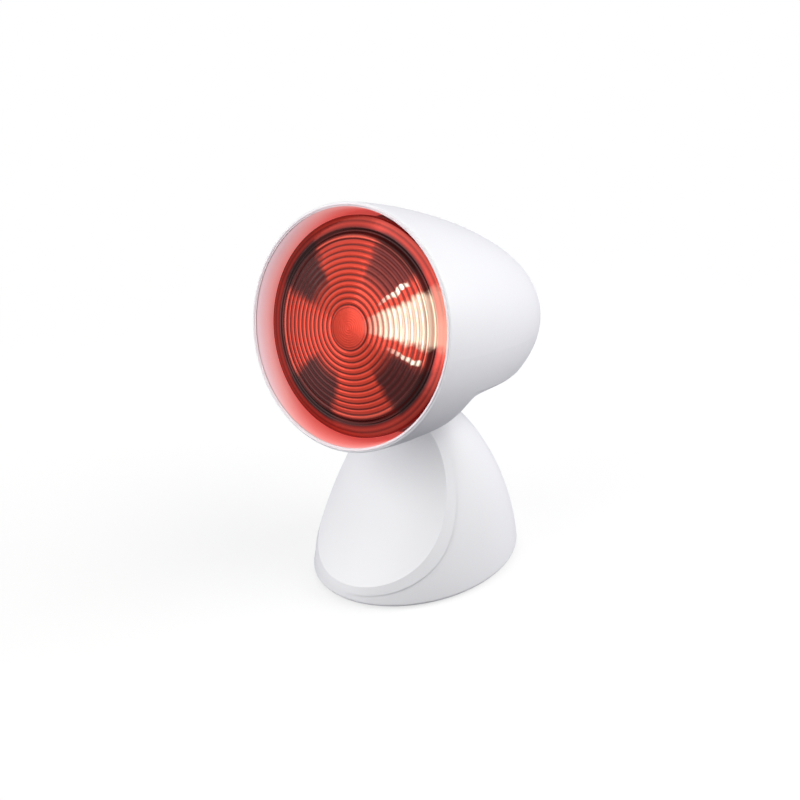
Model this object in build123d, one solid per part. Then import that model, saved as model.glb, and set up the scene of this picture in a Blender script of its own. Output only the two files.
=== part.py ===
"""Infrared heat therapy lamp: a bell-shaped foot carries a tilting egg-shaped head with a red reflector bulb.

Millimetres, +Z up, the lamp looks towards -Y. The origin is on the table, under the middle of the foot.
The head is drawn level, with its axis along +Y from the rim plane (y = 0) to the back, and is then tilted.
"""

from build123d import *
from math import cos, pi, radians, sin, sqrt, tan
import os

os.makedirs("parts", exist_ok=True)

# ---------------------------------------------------------------- foot
foot_width = 109.2
foot_depth = 139.2
foot_apex = 108.8  # height at which the bell curves would close
foot_top = 96.0  # height at which the bell ends, close under the hinge
foot_lean = 0.0288  # how far the sections move back for each millimetre of height
foot_wall = 2.6
width_power, width_root = 1.30, 2.17
depth_power, depth_root = 1.625, 1.25
foot_edge_radius = 2.0
floor_gap = 1.5  # the shell stands this far above the table, on its rubber feet
neck_gap = 1.0  # between the bell's top and the head's skin at both ends of the tilt
bell_stations = 12

# front panel: a teardrop pad that leans back and slices the front of the bell
panel_round = 61.5  # plan radius of the pad's face
panel_low = (-0.3, 12.5)  # depth behind the bell's front and height, at three points of its middle line
panel_mid = (12.05, 44.5)
panel_high = (7.1, 85.0)
panel_thick = 3.2
panel_proud = 0.8  # the pad's edge stands out of the bell by this much
panel_gap = 0.15
panel_back_limit = -5.0  # the slice only works in front of this plane
peg_radius = 2.0
peg_length = 6.5
peg_places = ((-20.0, 50.0), (20.0, 50.0), (0.0, 28.0))
peg_clearance = 0.2

# bottom plate, feet and fasteners
plate_thick = 3.0
plate_clearance = 0.3
rubber_radius = 6.5
rubber_stem_radius = 2.5
rubber_x, rubber_y = 0.27 * foot_width, 0.3 * foot_depth
rubber_places = [(x, y) for x in (-rubber_x, rubber_x) for y in (-rubber_y, rubber_y)] + [(0, 0)]
tower_radius = 4.2
tower_x, tower_front, tower_back = foot_width / 3, -0.16 * foot_depth, 0.19 * foot_depth
tower_places = [(x, y) for x in (-tower_x, tower_x) for y in (tower_front, tower_back)]
fit = 0.05  # radial clearance of a screw, pin or stem in its hole
head_play = 0.2  # radial clearance of a screw head in its pocket
screw_radius = 1.5
screw_head_radius = 2.8
screw_head_height = 1.8
screw_bite = 9.0
screw_cross = 0.4  # half the width of a cross recess
screw_cross_reach = 1.6
vent_width = 3.0
vent_length = 26.0
vent_pitch = 8.0
vent_count = 5
vent_middle_y = -rubber_y

# ballast and hinge post
ballast_gap = 1.0  # between the ballast and the screw towers
ballast_block_gap = 4.05  # and between the ballast and the terminal block
ballast_width, ballast_thick = 2 * (tower_x - tower_radius - ballast_gap), 8.0
ballast_corner = 6.0
post_width = 20.0
post_thick = 12.0
post_flange_width, post_flange_depth, post_flange_thick = 46.0, 34.0, 5.0
post_flange_corner = 4.0
post_screw_x, post_screw_y = 17.0, 11.0
ballast_screw_x = 25.0
ballast_screw_edge = 7.0  # from the ballast's front and back edges in to its screws
ballast_screw_bite = 5.0
post_screw_bite = 6.0
duct_width, duct_depth = 11.0, 6.0
duct_window_low, duct_window_high = 20.0, 36.0
post_gap = 0.4  # between the post and its opening in the bell's top
cable_notch = 1.5  # the post is open behind the hinge axis from this far below it

# hinge
hinge_y, hinge_z = 2.8, 108.8
pin_radius = 2.5
pin_depth_in_post = 4.2
pin_head_radius = 4.3
pin_head_height = 2.0
pin_slot_length, pin_slot_depth = 6.4, 0.9
washer_thick = 0.8
washer_radius = 5.6
spring_washer_thick = 0.6
ear_radius = 6.4
ear_thick = 4.0
running_fit = 0.06
side_play = 0.03

# power inlet, terminal block and rocker switch, at the back of the foot
gland_z = 17.0
gland_seat_depth = 2.9  # from the bell's surface in to the flange's seat
gland_boss_radius = 11.0
gland_boss_length = 4.0
gland_flange_radius = 7.4
gland_flange_thick = 2.4
gland_flange_play = 0.3
gland_chamfer = 0.8
gland_radius = 5.2
gland_bore_radius = 3.6
gland_nut_size = 8.0
gland_nut_thick = 4.0
gland_length = 11.0
block_width, block_depth, block_height = 24.0, 15.0, 16.0
block_cable_up = 12.5  # the cable leaves the block this far above the plate
block_from_seat = 23.1  # from the gland's seat in to the block's middle
block_screw_x = 6.0
block_chamfer = 1.0
block_well = 5.0  # the screw wells start this far above the plate
block_screw_radius = 2.1
block_screw_play = 0.1
block_screw_sink = 1.2
block_slot_width, block_slot_depth = 0.8, 1.0
block_entry = 5.0  # how far the cable reaches into the block
switch_z = 43.0
switch_lean = 24.0  # degrees from upright, as the bell leans there
switch_seat_depth = 1.6
switch_bezel = (23.0, 15.0)
switch_bezel_thick = 1.8
switch_bezel_rim = 1.9
switch_body_size = (19.0, 12.0)
switch_body_depth = 13.0
switch_pocket_play = 0.5
switch_backing = 2.4
switch_backing_border = 3.0
switch_cut_reach = 12.0
switch_bezel_edge = 0.6
switch_floor = 2.5
rocker_radius = 8.8
rocker_width = 10.2
rocker_axis_depth = 0.4
rocker_crest = 3.0  # from the axis out to the crest, and in to the flat underside
rocker_room = 60.0  # side of the blocks that shape the rocker
rocker_face_angle = 9.0
rocker_rest = 9.0
tab_size = (4.8, 0.8, 7.0)
tab_places = (-5.0, 5.0)
cable_radius = 2.0
cable_reach = 2.6  # from the hinge axis to the round end of each cable
cable_straight = 6.5  # from the hinge axis to the head cable's first bend
cable_level_run = 14.0  # the head cable comes level this far in front of the bracket
base_cable_bend, head_cable_bend, lead_bend = 3.5, 3.0, 4.0
lead_radius = 1.1
lead_end_gap = 0.6

# ---------------------------------------------------------------- head
# bulb: a pressed glass reflector lamp, a standard size that the head is built round
lens_radius = 60.75  # 121.5 mm across
lens_sphere = 211.0
lens_thick = 3.0
lens_set_back = 0.2
flange_thick = 3.6
flange_wall = 3.5
bowl_thick = 1.8
bowl_insets = (1.55, 5.25, 11.75, 19.75, 28.75, 38.25, 43.25)  # from the lens's edge in to the bowl's wall
bowl_depths = (16.0, 30.0, 46.0, 60.0, 75.0, 90.0, 100.0)  # behind the rim plane
bowl_points = [(lens_radius - inset, depth) for inset, depth in zip(bowl_insets, bowl_depths)]
bowl_shoulder = 0.6
neck_taper = 3.2
neck_length = 10.0
neck_end = bowl_depths[-1] + neck_length
bulb_cap_radius = 13.1
bulb_cap_length = 20.0
bulb_cap_wall = 0.6
insulator_radius = 9.0
insulator_length = 4.0
contact_radius = 4.5
contact_length = 1.6
cap_end = neck_end + bulb_cap_length
contact_end = cap_end + insulator_length + contact_length
filament_radius = 0.9
filament_loop = 9.0
filament_set_back = 47.0
support_radius = 0.7
stem_radius = 6.0
stem_start = bowl_depths[-1] - 16.0
stem_flare = 6.0

# lamp holder, bracket and heat shield
holder_radius = 20.0
holder_start = neck_end + 0.4
holder_flange_radius = 27.0
holder_flange_thick = 4.0
holder_back_wall = 8.0
thread_thick = 0.5
thread_gap = 0.2
contact_room = 1.2  # behind the bulb's end contact
contact_tongue = (-9.0, 4.0, 6.0, 0.8)  # from and to across the holder, width and thickness
contact_play = 0.2
holder_end = contact_end + contact_room + holder_back_wall
bracket_start = neck_end + 8.0
holder_cable_s = bracket_start + 12.0  # where the cable enters the holder, behind the rim plane
bracket_thick = 1.5
bracket_radius = 38.0
bracket_screw_radius = 34.0
bracket_screw_angles = (90.0, 200.0, 340.0)
bracket_boss_radius = 4.0
bracket_web = 2.5  # thickness of the web from each boss out to the shell
bracket_screw_bite = 9.0
holder_screw_bite = 5.0
holder_screw_radius = 23.6
holder_screw_angles = (0.0, 180.0)
shield_gap = 1.9
shield_thick = 0.6
shield_start = 64.0
shield_waist = bowl_depths[-2]
shield_tail = 28.0
shield_flange = 30.6
shield_seam_angle = 60.0  # the cone's seam lies between the bracket screws
holder_cable_sink = 3.0  # how far the cable goes into the holder's side
cable_hole_radius = 2.6
cable_hole_up = -33.5

# shade
shade_room = 7.25  # from the bulb's edge out to the shade's rim
rim_radius = lens_radius + shade_room
holder_room = 17.0  # from the lamp holder back to the end of the shade
head_length = holder_end + holder_room
head_power, head_root = 1.508, 2.289
head_wall = 2.4
hinge_s = 78.14  # the hinge axis lies this far behind the rim plane
hinge_inset = 10.98  # and this far inside the belly's skin
head_tilt = 16.4  # degrees that the head looks up at rest
tilt_reach = 16.4  # degrees it can turn each way from there
head_stations = 12
rim_edge_radius = 0.9

# liner inside the shade's mouth, with the pale lip
liner_gap = 0.25
liner_thick = 1.2
liner_depth = 40.0
lip_thick = 0.8

# belly cover: the recessed underside over the hinge
belly_first, belly_last = 45.0, 121.0
belly_level = -23.0
belly_recess = 5.5
belly_wall = 2.2
belly_gap = 0.25
belly_flange = 2.2
belly_counterbore = 6.8
belly_hole_reach = 20.0  # through the ledge and the shelf above it
belly_stations = 9
belly_screw_places = ((6.57, 62.0), (4.57, 106.0))  # inset from the skin and distance behind the rim
belly_post_radius = 3.6
shelf_thick = 3.0
shelf_inner = 3.9  # how far the shelf reaches inwards past the screw's middle
shelf_step = 0.2
shelf_half_length = 6.0
slot_play = 0.6

# rear cap with louvres
cap_height = 12.8
cap_start = head_length - cap_height
cap_proud = 0.5
cap_gap = 0.3
cap_wall = 2.2
cap_spigot_depth = 3.0
cap_spigot_wall = 5.0
louvre_width = 2.6
louvre_pitch = 6.2
louvre_count = 5
louvre_length = 30.0
louvre_start = 4.5  # the louvres begin this far behind the cap's edge


# ---------------------------------------------------------------- small helpers
def along_x(radius, x0, x1, y=0.0, z=0.0):
    """A round bar from x0 to x1."""
    return Pos((x0 + x1) / 2, y, z) * Rot(0, 90, 0) * Cylinder(radius, abs(x1 - x0))


def along_y(radius, y0, y1, x=0.0, z=0.0):
    """A round bar from y0 to y1."""
    return Pos(x, (y0 + y1) / 2, z) * Rot(90, 0, 0) * Cylinder(radius, abs(y1 - y0))


def along_z(radius, z0, z1, x=0.0, y=0.0):
    """A round bar from z0 to z1."""
    return Pos(x, y, (z0 + z1) / 2) * Cylinder(radius, abs(z1 - z0))


def block(x0, x1, y0, y1, z0, z1):
    """A box between two corners."""
    return Pos((x0 + x1) / 2, (y0 + y1) / 2, (z0 + z1) / 2) * Box(x1 - x0, y1 - y0, z1 - z0)


def turned(points):
    """A solid of revolution about the Y axis from (radius, y) corners."""
    return revolve(make_face(Polyline(*points, close=True)), Axis.Y)


def save(node, *solids):
    """Write one node's file."""
    export_step(Compound(label=node, children=[Part(s.wrapped) for s in solids]), f"parts/{node}.step")


def all_solids(shape):
    """Every solid of a shape, largest first."""
    return sorted(shape.solids(), key=lambda s: -s.volume)


# ---------------------------------------------------------------- foot outlines
def half_width(z):
    return foot_width / 2 * (1 - (z / foot_apex) ** width_power) ** (1 / width_root)


def half_depth(z):
    return foot_depth / 2 * (1 - (z / foot_apex) ** depth_power) ** (1 / depth_root)


def bell_section(z, grow):
    plane = Plane((0, foot_lean * z, z))
    return plane * Ellipse(half_width(z) + grow, half_depth(z) + grow)


def bell(low, high, grow=0.0):
    """The bell between two heights, offset sideways by grow."""
    step = (high - low) / (bell_stations - 1)
    return loft([bell_section(low + i * step, grow) for i in range(bell_stations)])


def bell_front(z):
    return foot_lean * z - half_depth(z)


def bell_back(z):
    return foot_lean * z + half_depth(z)


def panel_y(z):
    """Middle line of the pad's face: the parabola through its three points."""
    points = [(bell_front(height) + depth, height) for depth, height in (panel_low, panel_mid, panel_high)]
    (y0, z0), (y1, z1), (y2, z2) = points
    first = (y1 - y0) / (z1 - z0)
    second = ((y2 - y1) / (z2 - z1) - first) / (z2 - z0)
    return y0 + first * (z - z0) + second * (z - z0) * (z - z1)


def leaning_drum(inset, low, high):
    """The body behind the pad's face: round sections that lean back, set in by inset."""
    radius = panel_round - inset
    step = (high - low) / (bell_stations - 1)
    heights = [low + i * step for i in range(bell_stations)]
    return loft([Plane((0, panel_y(z) + panel_round, z)) * Circle(radius) for z in heights])


def in_front_of_drum(inset):
    """Everything in front of the pad's face, or of the same face set in by inset."""
    room = block(-foot_width, foot_width, -foot_depth, panel_back_limit, -2.0, foot_top + 3)
    return room - leaning_drum(inset, -4.0, foot_top + 5)


# ---------------------------------------------------------------- head outlines
def head_radius(s, grow=0.0):
    return (rim_radius + grow) * (1 - (s / (head_length + grow)) ** head_power) ** (1 / head_root)


def head_curve(grow):
    """The head's side line from the rim plane to the back end."""
    points = []
    for i in range(head_stations + 1):
        turn = i / head_stations * pi / 2
        radius = (rim_radius + grow) * max(cos(turn), 0.0) ** (2 / head_root)
        depth = (head_length + grow) * sin(turn) ** (2 / head_power)
        points.append((0 if i == head_stations else radius, depth))
    return Spline(*points, tangents=[(0, 1), (-1, 0)])


def egg(grow=0.0):
    """The head's full body of revolution, offset by grow."""
    end = head_length + grow
    outline = [Line((0, 0), (rim_radius + grow, 0)), head_curve(grow), Line((0, end), (0, 0))]
    return revolve(make_face(outline), Axis.Y)


def belly_radius(s):
    share = (s - belly_first) / (belly_last - belly_first)
    return head_radius(s) - belly_recess * max(sin(pi * min(max(share, 0.0), 1.0)), 0.0)


def belly_body(inset):
    """The body of revolution inside the belly cover's skin, set in by inset."""
    step = (belly_last - belly_first) / (belly_stations - 1)
    stations = [belly_first + i * step for i in range(belly_stations)]
    points = [(belly_radius(s) - inset, s) for s in stations]
    outline = [
        Line((0, belly_first), points[0]),
        Spline(*points),
        Line(points[-1], (0, belly_last)),
        Line((0, belly_last), (0, belly_first)),
    ]
    return revolve(make_face(outline), Axis.Y)


def bowl_radius(s):
    """Outer radius of the bulb's bowl at a distance behind the rim plane."""
    for (r0, s0), (r1, s1) in zip(bowl_points, bowl_points[1:]):
        if s <= s1:
            return r0 + (r1 - r0) * (s - s0) / (s1 - s0)
    return bowl_points[-1][0]


hinge_u = hinge_inset - belly_radius(hinge_s)


def head_at(tilt):
    """From the level head to its place on the hinge, looking up by tilt degrees."""
    return Pos(0, hinge_y, hinge_z) * Rot(-tilt, 0, 0) * Pos(0, -hinge_s, -hinge_u)


head_place = head_at(head_tilt)

gland_seat_y = bell_back(gland_z) - gland_seat_depth
block_y = gland_seat_y - block_from_seat
ballast_depth = 2 * (block_y - block_depth / 2 - ballast_block_gap - hinge_y)
ballast_screw_y = ballast_depth / 2 - ballast_screw_edge
plate_top = floor_gap + plate_thick
ballast_top = plate_top + ballast_thick
flange_top = ballast_top + post_flange_thick
panel_cut = panel_thick + panel_gap
ear_start = post_width / 2 + washer_thick + 2 * side_play
ear_end = ear_start + ear_thick
belly_screws = [(sqrt(belly_radius(s) ** 2 - belly_level**2) - inset, s) for inset, s in belly_screw_places]


# ---------------------------------------------------------------- foot pieces
def switch_plane():
    """Seat of the rocker switch: X across the foot, Z outwards."""
    lean = radians(switch_lean)
    outward = Vector(0, cos(lean), sin(lean))
    seat = Vector(0, bell_back(switch_z), switch_z) - outward * switch_seat_depth
    return Plane(origin=seat, x_dir=Vector(-1, 0, 0), z_dir=outward)


def seat_block(width, height, low, high):
    """A box on the switch seat, between two heights above it."""
    return switch_plane().location * Pos(0, 0, (low + high) / 2) * Box(width, height, high - low)


def head_sweep(gap):
    """The head's underside, grown by gap, where the head stands at the two ends of its tilt."""
    ends = Part()
    for tilt in (head_tilt - tilt_reach, head_tilt + tilt_reach):
        ends += head_at(tilt) * belly_body(-gap)
    return ends


def base_shell():
    outer = bell(floor_gap, foot_top)
    outer = fillet(outer.edges().group_by(Axis.Z)[0], foot_edge_radius)
    outer -= in_front_of_drum(panel_cut)
    outer -= head_sweep(neck_gap)
    inner = bell(floor_gap - 1, foot_top - foot_wall, -foot_wall)
    inner -= in_front_of_drum(panel_cut + foot_wall)
    shell = outer - (inner - head_sweep(neck_gap + foot_wall))
    shell += outer & Part() + [along_z(tower_radius, plate_top, foot_apex, x, y) for x, y in tower_places]
    shell += outer & along_y(gland_boss_radius, gland_seat_y - gland_boss_length, foot_depth, 0, gland_z)
    backing_size = [size + 2 * switch_backing_border for size in switch_bezel]
    backing = seat_block(*backing_size, -switch_backing, switch_seat_depth + 2)
    shell += outer & backing
    return shell - base_shell_cuts()


def base_shell_cuts():
    cuts = Part()
    for x, y in tower_places:
        cuts += along_z(screw_radius + fit, plate_top - 1, plate_top + screw_bite + 1, x, y)
    cuts += along_y(gland_flange_radius + gland_flange_play, gland_seat_y, foot_depth, 0, gland_z)
    cuts += along_y(gland_radius + fit, 0.5 * gland_seat_y, foot_depth, 0, gland_z)
    pocket = (switch_bezel[0] + switch_pocket_play, switch_bezel[1] + switch_pocket_play)
    cuts += seat_block(*pocket, 0, switch_cut_reach)
    cuts += seat_block(switch_body_size[0] + 2 * fit, switch_body_size[1] + 2 * fit, -switch_cut_reach, 1)
    cuts += post_column(post_gap, flange_top, hinge_z)
    cuts += peg_group(peg_radius + peg_clearance, 2 * peg_length)
    return cuts


def post_column(grow, low, high):
    half_x, half_y = post_width / 2 + grow, post_thick / 2 + grow
    return block(-half_x, half_x, hinge_y - half_y, hinge_y + half_y, low, high)


def peg_group(radius, length):
    """Pegs behind the pad, level, starting inside its thickness."""
    pegs = Part()
    for x, z in peg_places:
        start = panel_y(z) + panel_round - sqrt(panel_round**2 - x**2) + panel_thick / 2
        pegs += along_y(radius, start, start + panel_thick / 2 + length, x, z)
    return pegs


def front_panel():
    """The teardrop pad, with the pegs that hold it."""
    pad = bell(floor_gap, foot_top, panel_proud) - in_front_of_drum(0) - head_sweep(neck_gap)
    pad &= in_front_of_drum(panel_thick)
    pad = all_solids(pad)[0]
    return pad + peg_group(peg_radius, peg_length)


def bottom_plate():
    section = bell_section(plate_top, -foot_wall - plate_clearance)
    plate = extrude(section.faces()[0], -plate_thick)
    for x, y in tower_places:
        plate -= along_z(screw_radius + fit, 0, plate_top + 1, x, y)
        plate -= along_z(screw_head_radius + head_play, 0, floor_gap + screw_head_height, x, y)
    for x in (-ballast_screw_x, ballast_screw_x):
        for y in (-ballast_screw_y, ballast_screw_y):
            plate -= along_z(screw_radius + fit, 0, plate_top + 1, x, y)
            plate -= along_z(screw_head_radius + head_play, 0, floor_gap + screw_head_height, x, y)
    for x, y in rubber_places:
        plate -= along_z(rubber_stem_radius + fit, 0, plate_top + 1, x, y)
    first = -(vent_count - 1) / 2 * vent_pitch
    for i in range(vent_count):
        x = first + i * vent_pitch
        y0, y1 = vent_middle_y - vent_length / 4, vent_middle_y + vent_length / 4
        plate -= block(x - vent_width / 2, x + vent_width / 2, y0, y1, 0, plate_top + 1)
    return plate


def screw(length, head_low):
    """An upward screw whose head starts at head_low, with a cross recess."""
    head = along_z(screw_head_radius, head_low, head_low + screw_head_height - 0.1)
    half, reach = screw_cross, screw_cross_reach
    slot = block(-half, half, -reach, reach, head_low - 1, head_low + screw_head_height / 2)
    cross = slot + Rot(0, 0, 90) * slot
    return head - cross + along_z(screw_radius, head_low + screw_head_height / 2, head_low + length)


def base_screws():
    length = plate_thick + screw_bite
    return [Pos(x, y, 0) * screw(length, floor_gap + 0.1) for x, y in tower_places]


def rubber_feet():
    feet = []
    for x, y in rubber_places:
        pad = along_z(rubber_radius, 0, floor_gap, x, y)
        pad = chamfer(pad.edges().group_by(Axis.Z)[0], 0.4)
        feet.append(pad + along_z(rubber_stem_radius, floor_gap, plate_top - 0.2, x, y))
    return feet


def ballast_plate():
    outline = Plane((0, hinge_y, plate_top)) * RectangleRounded(ballast_width, ballast_depth, ballast_corner)
    plate = extrude(outline, ballast_thick)
    for x in (-ballast_screw_x, ballast_screw_x):
        for y in (-ballast_screw_y, ballast_screw_y):
            plate -= along_z(screw_radius + fit, 0, plate_top + ballast_screw_bite + 1, x, y)
    for x in (-post_screw_x, post_screw_x):
        for y in (-post_screw_y, post_screw_y):
            plate -= along_z(screw_radius + fit, plate_top + 1, ballast_top + 1, x, hinge_y + y)
    return plate


def ballast_screws():
    length = plate_thick + ballast_screw_bite
    screws = []
    for x in (-ballast_screw_x, ballast_screw_x):
        for y in (-ballast_screw_y, ballast_screw_y):
            screws.append(Pos(x, y, 0) * screw(length, floor_gap + 0.1))
    return screws


def post_screws():
    screws = []
    for x in (-post_screw_x, post_screw_x):
        for y in (-post_screw_y, post_screw_y):
            place = Pos(x, hinge_y + y, flange_top + screw_head_height) * Rot(180, 0, 0)
            screws.append(place * screw(screw_head_height + post_flange_thick + post_screw_bite, 0))
    return screws


def hinge_post():
    outline = RectangleRounded(post_flange_width, post_flange_depth, post_flange_corner)
    flange = Plane((0, hinge_y, ballast_top)) * outline
    post = extrude(flange, post_flange_thick)
    post += post_column(0, ballast_top, hinge_z)
    post += along_x(post_thick / 2, -post_width / 2, post_width / 2, hinge_y, hinge_z)
    half_duct = duct_width / 2
    duct_y0, duct_y1 = hinge_y - duct_depth / 2, hinge_y + duct_depth / 2
    post -= block(-half_duct, half_duct, duct_y0, duct_y1, flange_top, hinge_z + post_thick)
    post -= block(-half_duct, half_duct, hinge_y, hinge_y + post_thick, duct_window_low, duct_window_high)
    notch_low, notch_high = hinge_z - cable_notch, hinge_z + post_thick
    post -= block(-half_duct, half_duct, hinge_y, hinge_y + post_thick, notch_low, notch_high)
    post -= along_x(pin_radius + fit, -post_width, post_width, hinge_y, hinge_z)
    for x in (-post_screw_x, post_screw_x):
        for y in (-post_screw_y, post_screw_y):
            post -= along_z(screw_radius + fit, 0, flange_top + 1, x, hinge_y + y)
    return post


def both_sides(piece):
    """A piece and its mirror image across the lamp's middle."""
    return [piece, mirror(piece, Plane.YZ)]


def hinge_pins():
    start = post_width / 2 - pin_depth_in_post
    head = ear_end + spring_washer_thick + side_play
    end = head + pin_head_height
    pin = along_x(pin_radius, start, head, hinge_y, hinge_z)
    pin += along_x(pin_head_radius, head, end, hinge_y, hinge_z)
    half, depth = pin_slot_length / 2, pin_slot_depth
    low, high = hinge_z - depth / 2, hinge_z + depth / 2
    return both_sides(pin - block(end - depth, end + depth, hinge_y - half, hinge_y + half, low, high))


def washer(x0, thick):
    disc = along_x(washer_radius, x0, x0 + thick, hinge_y, hinge_z)
    return disc - along_x(pin_radius + running_fit, x0 - 1, x0 + thick + 1, hinge_y, hinge_z)


def friction_washers():
    return both_sides(washer(post_width / 2 + side_play, washer_thick))


def spring_washers():
    return both_sides(washer(ear_end, spring_washer_thick))


def cable_gland():
    sleeve = along_y(gland_radius, gland_seat_y - gland_length + gland_flange_thick, gland_seat_y, 0, gland_z)
    sleeve += along_y(gland_flange_radius, gland_seat_y, gland_seat_y + gland_flange_thick, 0, gland_z)
    sleeve = chamfer(sleeve.edges().group_by(Axis.Y)[-1], gland_chamfer)
    return sleeve - along_y(gland_bore_radius, 0, foot_depth, 0, gland_z)


def gland_nut():
    face = gland_seat_y - gland_boss_length
    hexagon = Plane((0, face, gland_z), z_dir=(0, -1, 0)) * RegularPolygon(gland_nut_size, 6)
    nut = extrude(hexagon, gland_nut_thick)
    return nut - along_y(gland_radius + fit, 0, foot_depth, 0, gland_z)


def terminal_block():
    y0, y1 = block_y - block_depth / 2, block_y + block_depth / 2
    body = block(-block_width / 2, block_width / 2, y0, y1, plate_top, plate_top + block_height)
    body = chamfer(body.edges().group_by(Axis.Z)[-1], block_chamfer)
    for x in (-block_screw_x, block_screw_x):
        well_radius = block_screw_radius + block_screw_play
        body -= along_z(well_radius, plate_top + block_well, plate_top + block_height + 1, x, block_y)
    return body - along_y(cable_radius + fit, y0 - 1, y0 + block_entry, 0, plate_top + block_cable_up)


def terminal_screws():
    top = plate_top + block_height - block_screw_sink
    body = along_z(block_screw_radius, plate_top + block_well, top)
    half, reach = block_slot_width / 2, 2 * block_screw_radius
    body -= block(-half, half, -reach, reach, top - block_slot_depth, top + 1)
    return [Pos(x, block_y, 0) * body for x in (-block_screw_x, block_screw_x)]


def switch_body():
    bezel = seat_block(*switch_bezel, 0, switch_bezel_thick)
    bezel = fillet(bezel.edges(), switch_bezel_edge)
    body = bezel + seat_block(*switch_body_size, -switch_body_depth, 0.5)
    hollow = (switch_bezel[0] - 2 * switch_bezel_rim - 0.6, switch_bezel[1] - 2 * switch_bezel_rim)
    return body - seat_block(*hollow, -switch_body_depth + switch_floor, switch_bezel_thick + 1)


def rocker_place(angle):
    """From the rocker's own frame (axis along Y, crest up) to its seat, turned by angle."""
    return switch_plane().location * Pos(0, 0, -rocker_axis_depth) * Rot(0, angle, 0)


def switch_rocker():
    """A drum sector with two pressing faces that meet in a low crest."""
    body = Rot(90, 0, 0) * Cylinder(rocker_radius, rocker_width)
    body -= Pos(0, 0, -rocker_crest - rocker_room / 2) * Box(rocker_room, rocker_room, rocker_room)
    above = Pos(0, 0, rocker_room / 2) * Box(rocker_room, rocker_room, rocker_room)
    for side in (-1, 1):
        body -= Pos(0, 0, rocker_crest) * Rot(0, side * rocker_face_angle, 0) * above
    return rocker_place(rocker_rest) * body


def switch_tabs():
    width, thick, length = tab_size
    tabs = []
    for x in tab_places:
        place = switch_plane().location * Pos(x, 0, -switch_body_depth - length / 2)
        tabs.append(place * Box(thick, width, length))
    return tabs


def tube(points, radius, bend):
    """A round lead along straight runs joined by equal bends."""
    path = FilletPolyline(*points, radius=bend)
    start = Plane(origin=path @ 0, z_dir=path % 0)
    return sweep(start * Circle(radius), path)


def switch_leads():
    leads = []
    top = plate_top + block_height
    for x in tab_places:
        seat = Pos(x, -tab_size[0] / 2 - lead_end_gap, -switch_body_depth - tab_size[2] / 2)
        tip = (switch_plane().location * seat).position
        foot = (1.7 * tip.X, block_y + 1, top + lead_end_gap)
        middle = (1.6 * tip.X, block_y + 2.5, (top + tip.Z) / 2)
        leads.append(tube([foot, middle, (tip.X, tip.Y, tip.Z)], lead_radius, lead_bend))
    return leads


def base_cable():
    """From the terminal block into the post's duct and up to the hinge axis."""
    front = block_y - block_depth / 2
    top = hinge_z - cable_reach
    start_z = plate_top + block_cable_up
    points = [
        (0, front + 4, start_z),
        (0, front - 5, start_z),
        (0, hinge_y + post_thick / 2 + 2, flange_top + 6.0),
        (0, hinge_y, flange_top + 10.5),
        (0, hinge_y, top),
    ]
    return tube(points, cable_radius, base_cable_bend) + Pos(0, hinge_y, top) * Sphere(cable_radius)


# ---------------------------------------------------------------- head pieces, drawn level
def head_shell():
    shell = egg() - egg(-head_wall)
    rim = [e for e in shell.edges() if abs(e.center().Y) < 0.01]
    shell = fillet(rim, rim_edge_radius)
    shell -= block(-rim_radius, rim_radius, cap_start, head_length + 5, -rim_radius, rim_radius)
    window = block(-rim_radius, rim_radius, belly_first, belly_last, -rim_radius - 5, belly_level)
    shell -= window
    inside = egg(-head_wall + 0.3)
    shell += inside & shelves()
    shell += inside & bracket_bosses()
    return shell - head_holes()


def shelves():
    """Two ledges inside the shell that the belly cover is screwed to."""
    low = belly_level + belly_flange + shelf_step
    shelf = Part()
    for x, s in belly_screws:
        for side in (-1, 1):
            near, far = side * (x - shelf_inner), side * rim_radius
            shelf += block(min(near, far), max(near, far), s - shelf_half_length, s + shelf_half_length, low,
                           low + shelf_thick)
    return shelf


def polar(radius, angle):
    return radius * cos(radians(angle)), radius * sin(radians(angle))


def bracket_bosses():
    bosses = Part()
    for angle in bracket_screw_angles:
        x, u = polar(bracket_screw_radius, angle)
        start, end = bracket_start + bracket_thick, head_length
        bosses += along_y(bracket_boss_radius, start, end, x, u)
        web = block(bracket_screw_radius, rim_radius, start, end, -bracket_web / 2, bracket_web / 2)
        bosses += Rot(0, -angle, 0) * web
    return bosses


def head_holes():
    holes = Part()
    for angle in bracket_screw_angles:
        x, u = polar(bracket_screw_radius, angle)
        holes += along_y(screw_radius + fit, bracket_start, bracket_start + bracket_screw_bite + 0.5, x, u)
    for x, s in belly_screws:
        for side in (-1, 1):
            holes += along_z(screw_radius + fit, belly_level, belly_level + belly_hole_reach, side * x, s)
    return holes


def shade_liner():
    """The inner sleeve with the pale lip over the shell's edge."""
    grow = -head_wall - liner_gap
    sleeve = egg(grow) - egg(grow - liner_thick)
    sleeve &= block(-rim_radius, rim_radius, 0, liner_depth, -rim_radius, rim_radius)
    inner = rim_radius + grow - liner_thick
    outer = rim_radius - rim_edge_radius - 0.2
    lip = turned([(inner, -lip_thick), (outer, -lip_thick), (outer, -0.05), (rim_radius + grow, -0.05)]
                 + [(rim_radius + grow, 0.5), (inner, 0.5)])
    lip = fillet(lip.edges().group_by(Axis.Y)[0], 0.3)
    return sleeve + lip


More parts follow.
